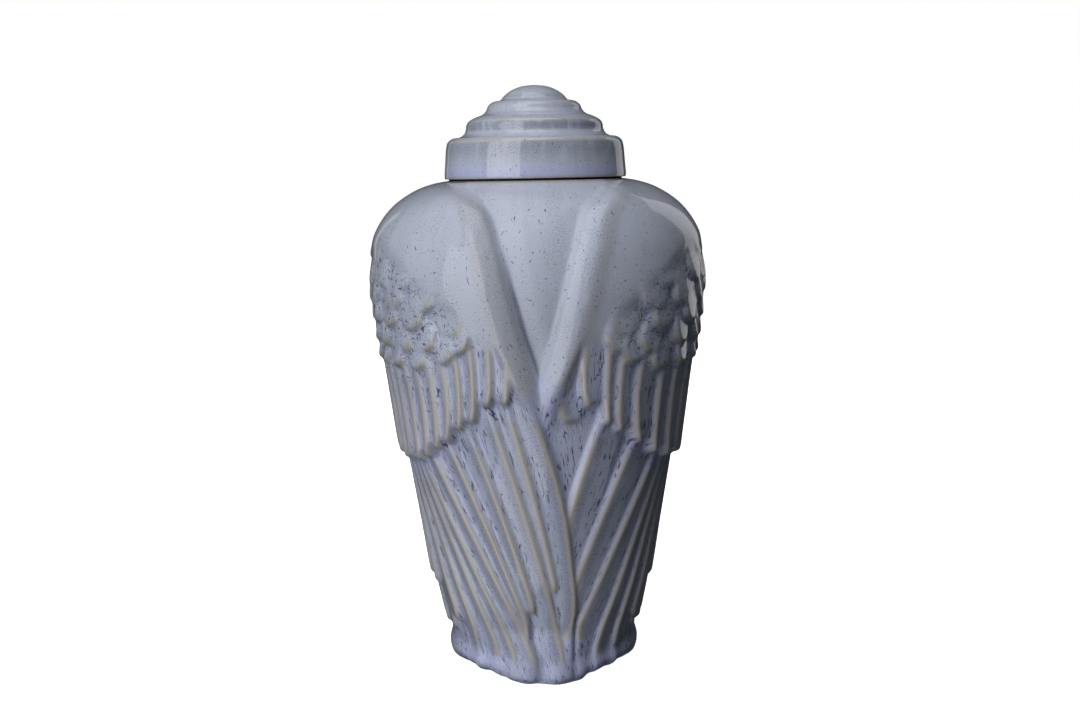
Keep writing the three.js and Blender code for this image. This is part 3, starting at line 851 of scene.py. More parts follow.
    def dull(self, angles: np.ndarray, runs: np.ndarray) -> np.ndarray:
        """Where the glaze is less glossy: between the two leading ridges, and low down in front.

        Args:
            angles: angles of the columns.
            runs: runs of the rows.

        Returns:
            1 where it is dull, 0 elsewhere.
        """
        left, right = (side.seen(side.sheet(angles, runs).across(LEADING_EDGE)) for side in Side)
        height = VESSEL.height(runs)[:, None]
        chest = smooth_step(1 - left / 3) * smooth_step(1 - right / 3) * ramp(height, *self.chest_from)
        foot = ramp(height, *self.dull_foot) * ramp(np.abs(angles), *self.dull_front)[None, :]
        return np.maximum(chest, foot)

    def painted_ridge_shade(self, angles: np.ndarray, runs: np.ndarray) -> np.ndarray:
        """Paints shade dark in the corner between the chest and the left leading ridge, where that ridge
        shades the chest.

        Args:
            angles: angles of the columns.
            runs: runs of the rows.

        Returns:
            1 in the corner, 0 elsewhere.
        """
        sheet = Side.LEFT.sheet(angles, runs)
        at, half = self.painted_shade_place
        line = np.exp(-(((sheet.across(LEADING_EDGE) - at) / half) ** 2))
        low, high = (ramp(sheet.heights, *end) for end in self.painted_shade_ends)
        return Side.LEFT.seen(line * (low * high)[:, None])

    def valley(self, angles: np.ndarray, runs: np.ndarray) -> np.ndarray:
        """Hollows the chest softly beside the two leading ridges, more beside the left one.

        Args:
            angles: angles of the columns.
            runs: runs of the rows.

        Returns:
            Depths in millimetres.
        """
        depth = np.zeros((len(runs), len(angles)))
        for side, most in zip(Side, self.chest_valley):
            sheet = side.sheet(angles, runs)
            across = sheet.across(LEADING_EDGE)
            chest = smooth_step(1 - across / 3) * np.exp(-((np.minimum(across, 0) / self.valley_width) ** 2))
            low, high = (ramp(sheet.heights, *end) for end in self.valley_ends)
            depth = np.maximum(depth, side.seen(most * chest * (low * high)[:, None]))
        return depth

    def skirt(self, angles: np.ndarray, z: np.ndarray, radius: np.ndarray) -> np.ndarray:
        """Change of radius at the foot, where glaze and feathers run down to the ground in front.

        Args:
            angles: angles of the columns.
            z: heights, a column.
            radius: the vessel's radius, a column.

        Returns:
            Millimetres to add to the radius.
        """
        out = np.abs(angles)[None, :]
        cover = ramp(np.abs(angles - 3), *self.flare_front)[None, :]
        front = np.maximum(self.flare_radius - radius, 0) * cover * ramp(z, *self.flare)
        near, far = (ramp(out, *end) for end in self.tuck_sides)
        tuck = -self.foot_tuck * near * far * ramp(z, *self.tuck)
        drips = sum(size * np.exp(-(((angles - at) / half) ** 2)) for at, half, size in self.foot_drips)
        return front + tuck + drips[None, :] * ramp(z, *self.drip_fade)

    def drape(self, carved: np.ndarray, angles: np.ndarray, z: np.ndarray) -> np.ndarray:
        """Lets the carving in front run down to the ground, lower by a little with each row.

        Args:
            carved: heights of the carving, from the ground up.
            angles: angles of the columns.
            z: heights of the rows.

        Returns:
            The heights with the carving drawn down.
        """
        drawn = carved.copy()
        pitch = VESSEL.length / (self.rows - 1)
        for row in range(int(np.searchsorted(z, self.drape_top)), -1, -1):
            drawn[row] = np.maximum(drawn[row], drawn[row + 1] - self.drape_loss * pitch)
        share = ramp(np.abs(angles), *self.drape_front)[None, :]
        drawn = carved + (drawn - carved) * share
        melted = soften(drawn, self.drape_blur / pitch, self.drape_blur)
        return drawn + (melted - drawn) * share * ramp(z, *self.melt)[:, None]

    def inside(self) -> np.ndarray:
        """Makes the seat and the plain inside, from the mouth down to the floor.

        Returns:
            Rings of points.
        """
        top = VESSEL.stations[-1][1]
        raised = top + self.seat_rise
        stations = [(self.seat_radius + 0.2, top), (self.seat_radius, raised)]
        stations += [(self.mouth_radius + 0.6, raised), (self.mouth_radius, top)]
        stations += [(self.mouth_radius, top - self.neck_depth)]
        ends = self.shoulder_inside, self.floor_thickness + self.corner
        runs = np.linspace(*(VESSEL.run_at(height) for height in ends), 8)
        nr, nz = VESSEL.normal(runs)
        stations += zip(VESSEL.radius(runs) - nr * self.wall, VESSEL.height(runs) - nz * self.wall)
        foot = stations[-1][0]
        bevel = 0.3 * self.corner
        stations += [(foot - bevel, self.floor_thickness + bevel), (foot - self.corner, self.floor_thickness)]
        return self.rings(stations)

    def underside(self) -> np.ndarray:
        """The bare underside as rings of points: a foot ring round a shallow recess."""
        inner = VESSEL.stations[0][0] - self.foot_ring
        return self.rings([(inner - 1.5, self.foot_recess), (inner, 0.0)])

    def rings(self, stations: list[tuple[float, float]]) -> np.ndarray:
        """Rings of points with the body's columns, one for each (radius, height)."""
        turn = np.radians(self.angles())
        return np.array([[(r * math.sin(a), -r * math.cos(a), z) for a in turn] for r, z in stations])

    def build(self, glaze: bpy.types.Material, clay: bpy.types.Material) -> bpy.types.Object:
        """Makes the body's mesh, with its masks as point attributes.

        Args:
            glaze: the outside's finish.
            clay: the finish of the underside and the inside.

        Returns:
            The body.
        """
        outside, masks = self.outside()
        underside = self.underside()
        rings = np.concatenate([underside, outside, self.inside()])
        poles = [(0.0, 0.0, self.foot_recess), (0.0, 0.0, self.floor_thickness)]
        points = np.vstack([rings.reshape(-1, 3), poles]) * MM
        count = self.columns
        row, column = np.meshgrid(np.arange(len(rings) - 1), np.arange(count), indexing="ij")
        low, after = row * count, (column + 1) % count
        quads = np.stack([low + column, low + after, low + count + after, low + count + column], axis=-1)
        around = np.arange(count)
        last = (len(rings) - 1) * count
        pole = len(points) - len(poles)
        fans = [(pole, int(b), int(a)) for a, b in zip(around, after[0])]
        fans += [(last + int(a), last + int(b), pole + 1) for a, b in zip(around, after[0])]
        mesh = bpy.data.meshes.new("urn_body_carved")
        mesh.from_pydata(points.tolist(), [], quads.reshape(-1, 4).tolist() + fans)
        mesh.update()
        first = len(underside) * count
        end = first + len(outside) * count
        for name, values in masks.items():
            whole = np.zeros((len(points), *values.shape[2:]))
            whole[first:end] = values.reshape(-1, *values.shape[2:])
            store(mesh, name, whole)
        bare = np.ones(len(mesh.polygons), np.int32)
        bare[first : end - count] = 0
        mesh.polygons.foreach_set("material_index", bare)
        mesh.polygons.foreach_set("use_smooth", np.ones(len(mesh.polygons), bool))
        for material in (glaze, clay):
            mesh.materials.append(material)
        return placed("urn_body_carved", mesh)


# Helpers for Blender's data


def placed(name: str, data: bpy.types.ID) -> bpy.types.Object:
    """Puts data into the scene as an object at the origin.

    Args:
        name: the object's name.
        data: its mesh, light or camera.

    Returns:
        The object.
    """
    made = bpy.data.objects.new(name, data)
    bpy.context.scene.collection.objects.link(made)
    return made


def store(mesh: bpy.types.Mesh, name: str, values: np.ndarray) -> None:
    """Stores an attribute on a mesh.

    Args:
        mesh: the mesh.
        name: the attribute's name.
        values: a number or a vector for each of its points.
    """
    kind, key = ("FLOAT", "value") if values.ndim == 1 else ("FLOAT_VECTOR", "vector")
    mesh.attributes.new(name, kind, "POINT").data.foreach_set(key, values.astype(np.float32).ravel())


class Nodes:
    """Adds and joins nodes in one tree."""

    def __init__(self, tree: bpy.types.NodeTree) -> None:
        """Starts on a tree."""
        self.tree = tree

    def add(self, kind: str, feeds: dict | None = None, **settings: object) -> bpy.types.Node:
        """Adds a node.

        Args:
            kind: the node's type name.
            feeds: what its inputs take, by their names or numbers.
            settings: values of its properties.

        Returns:
            The node.
        """
        node = self.tree.nodes.new(kind)
        for name, value in settings.items():
            setattr(node, name, value)
        self.fill(node, feeds or {})
        return node

    def fill(self, node: bpy.types.Node, feeds: dict) -> None:
        """Joins a node's inputs to other sockets, or sets their values.

        Args:
            node: the node.
            feeds: what its inputs take, by their names or numbers.
        """
        for key, value in feeds.items():
            if isinstance(value, bpy.types.NodeSocket):
                self.tree.links.new(value, node.inputs[key])
            else:
                node.inputs[key].default_value = value

    def math(self, operation: str, *values: Feed, clamp: bool = False) -> bpy.types.NodeSocket:
        """Works out an operation on one value or two, or on more, from left to right.

        Args:
            operation: what a Math node calls it.
            values: the values.
            clamp: keeps the result from 0 to 1.

        Returns:
            The result.
        """
        result, *others = values
        for feeds in [{1: other} for other in others] or [{}]:
            node = self.add("ShaderNodeMath", {0: result} | feeds, operation=operation, use_clamp=clamp)
            result = node.outputs[0]
        return result

    def times(self, *values: Feed) -> bpy.types.NodeSocket:
        """The values' product."""
        return self.math("MULTIPLY", *values)

    def most(self, *values: Feed) -> bpy.types.NodeSocket:
        """The largest of the values."""
        return self.math("MAXIMUM", *values)

    def band(self, value: Feed, low: float, high: float) -> bpy.types.NodeSocket:
        """Smoothly 0 at low and 1 at high. Low may lie above high."""
        feeds = {"Value": value, "From Min": low, "From Max": high}
        return self.add("ShaderNodeMapRange", feeds, interpolation_type="SMOOTHSTEP").outputs["Result"]

    def near(self, value: Feed, centre: float, half: float) -> bpy.types.NodeSocket:
        """1 where a value is close to a centre, fading to 0 at half a width from it."""
        away = self.math("ABSOLUTE", self.math("SUBTRACT", value, centre))
        return self.band(away, half, half * 0.3)

    def mix(self, factor: Feed, a: Feed, b: Feed) -> bpy.types.NodeSocket:
        """A mix of two colours."""
        return self.add("ShaderNodeMix", {"Factor": factor, 6: a, 7: b}, data_type="RGBA").outputs[2]

    def stretch(self, vector: Feed, scale: tuple[float, ...]) -> bpy.types.NodeSocket:
        """A vector scaled along its axes, by 1 along those that the scale leaves out."""
        feeds = {0: vector, 1: (*scale, 1.0)[:3]}
        return self.add("ShaderNodeVectorMath", feeds, operation="MULTIPLY").outputs[0]

    def noise(
        self, vector: Feed, scale: tuple[float, ...], detail: float = 2.0, distortion: float = 0.0
    ) -> bpy.types.NodeSocket:
        """Adds a Noise texture.

        Args:
            vector: coordinates.
            scale: the noise's scale along each axis.
            detail: how much finer noise it adds.
            distortion: how much it is bent.

        Returns:
            Its value, from 0 to 1.
        """
        feeds = {"Vector": self.stretch(vector, scale), "Scale": 1.0}
        feeds |= {"Detail": detail, "Distortion": distortion}
        return self.add("ShaderNodeTexNoise", feeds).outputs["Fac"]

    def flecks(
        self, vector: Feed, scale: tuple[float, ...], radius: float, rare: float
    ) -> bpy.types.NodeSocket:
        """Scatters dots in Voronoi cells.

        Args:
            vector: coordinates.
            scale: cells to a unit along each axis.
            radius: size of the dots, in cells.
            rare: share of the cells that stay empty.

        Returns:
            1 in the dots, 0 around them.
        """
        feeds = {"Vector": self.stretch(vector, scale), "Scale": 1.0}
        cells = self.add("ShaderNodeTexVoronoi", feeds, feature="F1")
        draw = self.add("ShaderNodeSeparateColor", {0: cells.outputs["Color"]})
        dot = self.band(cells.outputs["Distance"], radius, radius * 0.5)
        return self.times(dot, self.band(draw.outputs[0], rare, rare + 0.04))

    def bent(self, vector: Feed, scale: float, reach: float) -> bpy.types.NodeSocket:
        """Moves a vector about by a wide noise, so that a pattern on it turns from place to place.

        Args:
            vector: coordinates in millimetres.
            scale: the noise's scale.
            reach: how far places are moved.

        Returns:
            The moved coordinates.
        """
        wind = self.add("ShaderNodeTexNoise", {"Vector": vector, "Scale": scale, "Detail": 0.0})
        feeds = {0: wind.outputs["Color"], 1: (reach, reach, 0.0), 2: vector}
        return self.add("ShaderNodeVectorMath", feeds, operation="MULTIPLY_ADD").outputs[0]


def surface(name: str) -> tuple[bpy.types.Material, Nodes, bpy.types.Node]:
    """Starts a material.

    Args:
        name: the material's name.

    Returns:
        The material, the helper for its nodes, and its main shader.
    """
    made = bpy.data.materials.new(name)
    made.use_nodes = True
    return made, Nodes(made.node_tree), made.node_tree.nodes["Principled BSDF"]


def srgb(*channels: int) -> tuple[float, ...]:
    """Turns a screen colour into the linear colour that shaders take.

    Args:
        channels: red, green and blue, from 0 to 255.

    Returns:
        Red, green, blue and alpha.
    """
    shares = [value / 255 for value in channels]
    return *(x / 12.92 if x <= 0.04045 else ((x + 0.055) / 1.055) ** 2.4 for x in shares), 1.0


@dataclass(frozen=True)
class ReactiveGlaze:
    """A glossy glaze that is grey-blue, breaks to tan on edges and pools lavender with dark blue flecks."""

    base: tuple[float, ...] = srgb(184, 191, 208)
    pooled: tuple[float, ...] = srgb(184, 190, 223)
    tan: tuple[float, ...] = srgb(180, 172, 156)
    stippled: tuple[float, ...] = srgb(112, 118, 130)
    fleck: tuple[float, ...] = srgb(46, 57, 94)
    roughness: float = 0.3
    coat_roughness: float = 0.04
    coat_gloss: float = 1.5
    specular: float = 0.2
    ripple: float = 0.25
    ripple_depth: float = 0.0005
    dulling: float = 0.65
    clouds: tuple[float, float] = (0.12, 0.03)
    streaks: tuple[float, float] = (0.7, 0.09)
    stipples: tuple[float, float] = (1.35, 1.15)
    lumps: tuple[float, float] = (0.1, 0.1)
    waves: tuple[float, float] = (0.3, 0.16)
    lines: tuple[float, float] = (0.62, 0.055)
    breaks: tuple[float, float] = (0.5, 0.12)
    strokes: tuple[float, float] = (0.68, 0.085)
    curls: tuple[float, float] = (0.24, 0.24)
    pieces: tuple[float, float] = (0.38, 0.38)
    dots: tuple[float, float] = (0.75, 0.55)
    ticks: tuple[float, float] = (0.5, 0.17)

    def group(self) -> bpy.types.NodeTree:
        """The glaze's pattern as a shader group, from places and masks to a colour, a ripple and a gloss.

        Returns:
            The group.
        """
        tree = bpy.data.node_groups.new("Reactive glaze", "ShaderNodeTree")
        sockets = [(name, "INPUT", "Vector") for name in PLACES]
        sockets += [(name, "INPUT", "Float") for name in MASKS]
        sockets += [("Color", "OUTPUT", "Color"), ("Ripple", "OUTPUT", "Float"), ("Gloss", "OUTPUT", "Float")]
        for name, way, kind in sockets:
            tree.interface.new_socket(name, in_out=way, socket_type=f"NodeSocket{kind}")
        nodes = Nodes(tree)
        given = nodes.add("NodeGroupInput").outputs
        cloud = nodes.noise(given["flow"], self.clouds, 3, 0.5)
        colour = nodes.mix(self.flecks(nodes, given, cloud), self.mottled(nodes, given, cloud), self.fleck)
        lumps = nodes.times(nodes.noise(given["skin"], self.lumps, 1), 5.0, given["curled"])
        ripple = nodes.math("ADD", lumps, nodes.noise(given["flow"], self.waves, 1))
        gloss = nodes.math("SUBTRACT", 1.0, nodes.times(given["dull"], self.dulling))
        nodes.add("NodeGroupOutput", {"Color": colour, "Ripple": ripple, "Gloss": gloss})
        return tree

    def mottled(self, nodes: Nodes, given: Outputs, cloud: Feed) -> bpy.types.NodeSocket:
        """Mixes the glaze's colour without its flecks.

        Args:
            nodes: the group's nodes.
            given: the group's inputs.
            cloud: a wide noise.

        Returns:
            The colour.
        """
        lined = given["lined"]
        streaks = nodes.band(nodes.noise(given["flow"], self.streaks, 3, 0.6), 0.45, 0.62)
        stipple = nodes.band(nodes.noise(given["skin"], self.stipples), 0.56, 0.42)
        pools = nodes.band(given["pool"], 0.1, 0.7)
        lavender = nodes.most(pools, nodes.times(streaks, lined, 0.8), nodes.times(lined, 0.4))
        colour = nodes.mix(lavender, self.base, self.pooled)
        thin = nodes.math("ADD", 0.14, nodes.times(nodes.band(cloud, 0.45, 0.65), 0.2))
        patchy = nodes.times(given["grey"], nodes.band(cloud, 0.25, 0.5))
        shares = nodes.times(stipple, thin), nodes.times(patchy, 0.4), nodes.times(patchy, stipple, 0.5)
        for share in shares:
            colour = nodes.mix(share, colour, self.stippled)
        broken = nodes.math("SUBTRACT", 0.9, nodes.times(stipple, 0.35))
        return nodes.mix(nodes.times(given["tan"], broken), colour, self.tan)

    def flecks(self, nodes: Nodes, given: Outputs, cloud: Feed) -> bpy.types.NodeSocket:
        """Works out how much dark flecks cover: dots, dashes along the feathers, thin curls, and painted
        shade beside the left leading ridge.

        Args:
            nodes: the group's nodes.
            given: the group's inputs.
            cloud: a wide noise.

        Returns:
            The cover, from 0 to 1.
        """
        flow, skin, lined, pool = (given[name] for name in ("flow", "skin", "lined", "pool"))
        dashes = nodes.band(nodes.noise(flow, self.breaks), 0.46, 0.54)
        straight = nodes.times(nodes.near(nodes.noise(flow, self.lines, 1, 0.6), 0.5, 0.035), dashes)
        straight = nodes.most(straight, nodes.flecks(flow, self.strokes, 0.22, 0.52))
        curls = nodes.noise(skin, self.curls, 1, 0.9)
        rims = nodes.near(nodes.math("ADD", pool, nodes.times(curls, 0.9)), 0.72, 0.05)
        pieces = nodes.band(nodes.noise(skin, self.pieces), 0.46, 0.52)
        winding = nodes.times(nodes.most(nodes.near(curls, 0.5, 0.028), rims), pieces)
        wet = nodes.math("SUBTRACT", 1.0, nodes.most(given["grey"], given["tan"]), clamp=True)
        lines = nodes.most(nodes.times(straight, lined), nodes.times(winding, given["curled"]))
        bent = nodes.bent(skin, 0.2, 5.0)
        dots = nodes.times(nodes.flecks(bent, self.dots, 0.27, 0.7), 0.8)
        ticks = nodes.flecks(bent, self.ticks, 0.17, 0.72)
        plain = nodes.math("SUBTRACT", 1.0, nodes.times(lined, 0.75))
        fine = nodes.times(nodes.most(dots, ticks), plain)
        # Painted shade: dark flecks in the corner that the left leading ridge shades.
        seam = nodes.times(given["painted_ridge_shade"], nodes.band(cloud, 0.3, 0.5), 0.8)
        return nodes.times(nodes.most(nodes.times(lines, wet), fine, seam), 0.85)

    def material(self, name: str, pattern: bpy.types.NodeTree) -> bpy.types.Material:
        """Makes the glaze as a material that reads its places and masks from the mesh.

        Args:
            name: the material's name.
            pattern: the glaze's group.

        Returns:
            The material.
        """
        material, nodes, shader = surface(name)
        outputs = dict.fromkeys(PLACES, "Vector") | dict.fromkeys(MASKS, "Fac")
        reads = {
            mask: nodes.add("ShaderNodeAttribute", attribute_name=mask).outputs[output]
            for mask, output in outputs.items()
        }
        glaze = nodes.add("ShaderNodeGroup", node_tree=pattern)
        nodes.fill(glaze, reads)
        relief = {"Strength": self.ripple, "Distance": self.ripple_depth, "Height": glaze.outputs["Ripple"]}
        looks = {
            "Base Color": glaze.outputs["Color"],
            "Roughness": self.roughness,
            "Specular IOR Level": self.specular,
            "Coat Weight": glaze.outputs["Gloss"],
            "Coat Roughness": self.coat_roughness,
            "Coat IOR": self.coat_gloss,
            "Normal": nodes.add("ShaderNodeBump", relief).outputs["Normal"],
        }
        nodes.fill(shader, looks)
        return material


@dataclass(frozen=True)
class BareClay:
    """Dark unglazed stoneware, on the underside, the seat and the inside."""

    colour: tuple[float, ...] = srgb(92, 80, 70)
    grit_colour: tuple[float, ...] = srgb(66, 56, 50)
    grit: tuple[float, float, float] = (900.0, 900.0, 900.0)

    def material(self, name: str) -> bpy.types.Material:
        """Makes the clay as a material.

        Args:
            name: the material's name.

        Returns:
            The material.
        """
        material, nodes, shader = surface(name)
        grit = nodes.noise(nodes.add("ShaderNodeTexCoord").outputs["Object"], self.grit, 4)
        colour = nodes.mix(nodes.band(grit, 0.35, 0.7), self.grit_colour, self.colour)
        nodes.fill(shader, {"Base Color": colour, "Roughness": nodes.band(grit, -0.6, 0.9)})
        return material


def turned_shell_tree() -> bpy.types.NodeTree:
    """Makes a Geometry Nodes tree that turns a profile round the upright axis into a closed shell.

    Returns:
        The tree. Its inputs are the profile, Stations, Sides, Glaze and Clay.
    """
    tree = bpy.data.node_groups.new("Turned shell", "GeometryNodeTree")
    sockets = [("Geometry", "INPUT", "Geometry"), ("Stations", "INPUT", "Int"), ("Sides", "INPUT", "Int")]
    sockets += [("Glaze", "INPUT", "Material"), ("Clay", "INPUT", "Material")]
    sockets += [("Geometry", "OUTPUT", "Geometry")]
    for name, way, kind in sockets:
        tree.interface.new_socket(name, in_out=way, socket_type=f"NodeSocket{kind}")
    nodes = Nodes(tree)
    given = nodes.add("NodeGroupInput").outputs
    curve = nodes.add("GeometryNodeMeshToCurve", {"Mesh": given["Geometry"]}).outputs["Curve"]
    sides = nodes.math("ADD", given["Sides"], 1.0)
    grid = nodes.add("GeometryNodeMeshGrid", {"Vertices X": given["Stations"], "Vertices Y": sides})
    place = nodes.add("ShaderNodeSeparateXYZ", {0: nodes.add("GeometryNodeInputPosition").outputs[0]}).outputs
    share = nodes.math("ADD", place["X"], 0.5)
    turn = nodes.times(place["Y"], 2 * math.pi)

    def sample(feeds: dict, output: str) -> bpy.types.NodeSocket:
        """Reads the profile at each point's share of its length."""
        feeds = {"Curves": curve, "Factor": share} | feeds
        return nodes.add("GeometryNodeSampleCurve", feeds, mode="FACTOR", data_type="FLOAT").outputs[output]

    def named(name: str) -> bpy.types.NodeSocket:
        """An attribute of the points, as numbers."""
        node = nodes.add("GeometryNodeInputNamedAttribute", {"Name": name}, data_type="FLOAT")
        return node.outputs["Attribute"]

    station = nodes.add("ShaderNodeSeparateXYZ", {0: sample({}, "Position")}).outputs
    back = nodes.times(station["X"], nodes.math("COSINE", turn), -1.0)
    corner = {"X": nodes.times(station["X"], nodes.math("SINE", turn)), "Y": back, "Z": station["Z"]}
    across = nodes.times(turn, LID_MEAN_RADIUS * LID_PATTERN)
    down = nodes.times(sample({"Value": named("run")}, "Value"), LID_PATTERN)
    flow = nodes.add("ShaderNodeCombineXYZ", {"X": across, "Y": down}).outputs[0]
    stored = [(name, sample({"Value": named(name)}, "Value"), "FLOAT") for name in (*MASKS, "bare")]
    stored += [(name, flow, "FLOAT_VECTOR") for name in PLACES]
    shape = grid.outputs["Mesh"]
    for name, value, kind in stored:
        feeds = {"Geometry": shape, "Name": name, "Value": value}
        shape = nodes.add("GeometryNodeStoreNamedAttribute", feeds, data_type=kind, domain="POINT").outputs[0]
    steps = (
        ("GeometryNodeSetPosition", {"Position": nodes.add("ShaderNodeCombineXYZ", corner).outputs[0]}),
        ("GeometryNodeMergeByDistance", {"Distance": WELD_DISTANCE}),
        ("GeometryNodeSetShadeSmooth", {}),
        ("GeometryNodeRealizeInstances", {}),
        ("GeometryNodeSetMaterial", {"Material": given["Glaze"]}),
        (
            "GeometryNodeSetMaterial",
            {"Selection": nodes.math("GREATER_THAN", named("bare"), 0.5), "Material": given["Clay"]},
        ),
    )
    for kind, feeds in steps:
        shape = nodes.add(kind, {"Geometry": shape} | feeds).outputs["Geometry"]
    nodes.add("NodeGroupOutput", {"Geometry": shape})
    return tree


def grown(
    source: bpy.types.Object, tree: bpy.types.NodeTree, inputs: dict[str, object], name: str
) -> bpy.types.Object:
    """Runs a Geometry Nodes tree on an object and keeps the result as a plain mesh.

    Args:
        source: the object that the tree starts from. It is removed.
        tree: the tree.
        inputs: values by the names of the tree's inputs.
        name: name of the new object.

    Returns:
        The new object.
    """
    modifier = source.modifiers.new("grown", "NODES")
    modifier.node_group = tree
    for item in tree.interface.items_tree:
        if item.in_out == "INPUT" and item.name in inputs:
            modifier[item.identifier] = inputs[item.name]
    bpy.context.view_layer.update()
    evaluated = source.evaluated_get(bpy.context.evaluated_depsgraph_get())
    mesh = bpy.data.meshes.new_from_object(evaluated)
    mesh.name = name
    source.modifiers.remove(modifier)
    bpy.data.objects.remove(source)
    return placed(name, mesh)


@dataclass
class Lid:
    """The stepped lid: a turned shell, open below, with a ring that drops into the mouth."""

    seat: float = 269.0
    sides: int = 200
    stations: int = 300
    smoothness: int = 10
    samples: int = 900
    ring_radius: float = 36.8
    ring_wall: float = 4.0
    ring_depth: float = 8.0
    gap: float = 0.5
    seat_radius: float = 47.5
    tan_lines: tuple[tuple[float, float, float], ...] = (
        (48.0, 0.5, 0.3), (40.2, 0.6, 0.5), (31.6, 0.7, 0.7), (20.6, 0.9, 0.8), (1.2, 0.7, 0.7),
    )  # fmt: skip
    grey_bands: tuple[tuple[float, float, float, float], ...] = (
        (45.4, 42.6, 1.5, 0.5), (31.0, 25.0, 1.6, 1.0), (20.2, 7.0, 11.0, 0.85),
    )  # fmt: skip
    grey_edge: float = 0.8
    pool: Ramp = (11, -7)

    def masks(self, heights: np.ndarray) -> dict[str, np.ndarray]:
        """Works out where the glaze breaks tan on the edges, and thins to grey below them.

        Args:
            heights: heights above the seat.

        Returns:
            The masks tan, grey and pool, and the others, which are empty.
        """
        tan = sum(share * np.exp(-(((heights - at) / half) ** 2)) for at, half, share in self.tan_lines)
        grey = sum(
            share * ramp(heights, top, -self.grey_edge) * ramp(heights, end, fade)
            for top, end, fade, share in self.grey_bands
        )
        blank = np.zeros_like(heights)
        masks = {"tan": np.clip(tan, 0, 1), "grey": grey, "pool": 0.7 * ramp(heights, *self.pool)}
        return masks | {name: blank for name in MASKS if name not in masks}

    def profile(self) -> np.ndarray:
        """Draws the closed shell from the crown, down the outside, and up the inside to the axis.

        Returns:
            The profile's points, (radius, height above the seat), one row each.
        """
        outside = rounded_path(
            [
                (0, 50.6), (7.4, 49.7), (13, 47.4), (16.4, 44.8), (18.4, 42.6), (22.6, 41.6), (25, 39.8),
                (26.2, 37.2), (28, 35.2), (32.4, 33.4), (35.9, 31.4), (37.2, 29.4), (37.6, 26.8),
                (38.8, 24.4), (41.2, 22.9), (45.2, 22.2), (47.6, 20.4), (48.5, 17.6), (49.3, 9), (49.8, 1.8),
                (49.5, 0.5), (48.8, self.gap),
            ],
            self.smoothness,
        )  # fmt: skip
        inner = self.ring_radius - self.ring_wall
        inside = [
            (self.seat_radius, self.gap), (self.seat_radius, 0), (self.ring_radius, 0),
            (self.ring_radius, -self.ring_depth), (inner, -self.ring_depth),
            (inner, 16), (28.4, 28.4), (19.6, 36.4), (12, 43), (0, 45.6),
        ]  # fmt: skip
        return np.vstack([outside, inside])

    @staticmethod
    def outside_count(path: np.ndarray) -> int:
        """Number of the profile's points from the crown to the lower edge, where the glaze ends."""
        return int(np.argmax(path[:, 0] * (path[:, 1] < 1.0))) + 2

    def build(self, glaze: bpy.types.Material, clay: bpy.types.Material) -> bpy.types.Object:
        """Makes the lid's mesh, with the glaze's masks and both materials.

        Args:
            glaze: the outside's finish.
            clay: the finish of the inside.

        Returns:
            The lid.
        """
        path = self.profile()
        length = np.concatenate([[0.0], np.cumsum(np.linalg.norm(np.diff(path, axis=0), axis=1))])
        even = np.linspace(0.0, length[-1], self.samples)
        dense = np.stack([np.interp(even, length, path[:, k]) for k in (0, 1)], axis=1)
        bare = even > length[self.outside_count(path)]
        masks = {name: values * ~bare for name, values in self.masks(dense[:, 1]).items()}
        masks |= {"run": even, "bare": bare}
        points = [(r * MM, 0.0, (z + self.seat) * MM) for r, z in dense]
        mesh = bpy.data.meshes.new("lid_profile")
        mesh.from_pydata(points, [(k, k + 1) for k in range(len(points) - 1)], [])
        for name, values in masks.items():
            store(mesh, name, values)
        inputs = {"Stations": self.stations, "Sides": self.sides, "Glaze": glaze, "Clay": clay}
        return grown(placed("lid_profile", mesh), turned_shell_tree(), inputs, "lid_turned")


# Studio


@dataclass(frozen=True)
class Softbox:
    """A rectangular light that faces a height on the urn's axis."""

    name: str
    azimuth: float
    distance: float
    height: float
    size: tuple[float, float]
    power: float
    aim: float = 0.17
    lights_form: bool = True
    mirrored: bool = True

    def build(self) -> None:
        """Adds the light. Azimuth 0 is in front, and it grows to the viewer's right."""
        data = bpy.data.lights.new(self.name, "AREA")
        data.shape = "RECTANGLE"
        data.size, data.size_y = self.size
        data.energy = self.power
        lamp = placed(self.name, data)
        turn = math.radians(self.azimuth)
        lamp.location = (math.sin(turn) * self.distance, -math.cos(turn) * self.distance, self.height)
        towards = Vector((0, 0, self.aim)) - lamp.location
        lamp.rotation_euler = towards.to_track_quat("-Z", "Y").to_euler()
        lamp.visible_diffuse = self.lights_form
        lamp.visible_glossy = self.mirrored
        lamp.visible_camera = False


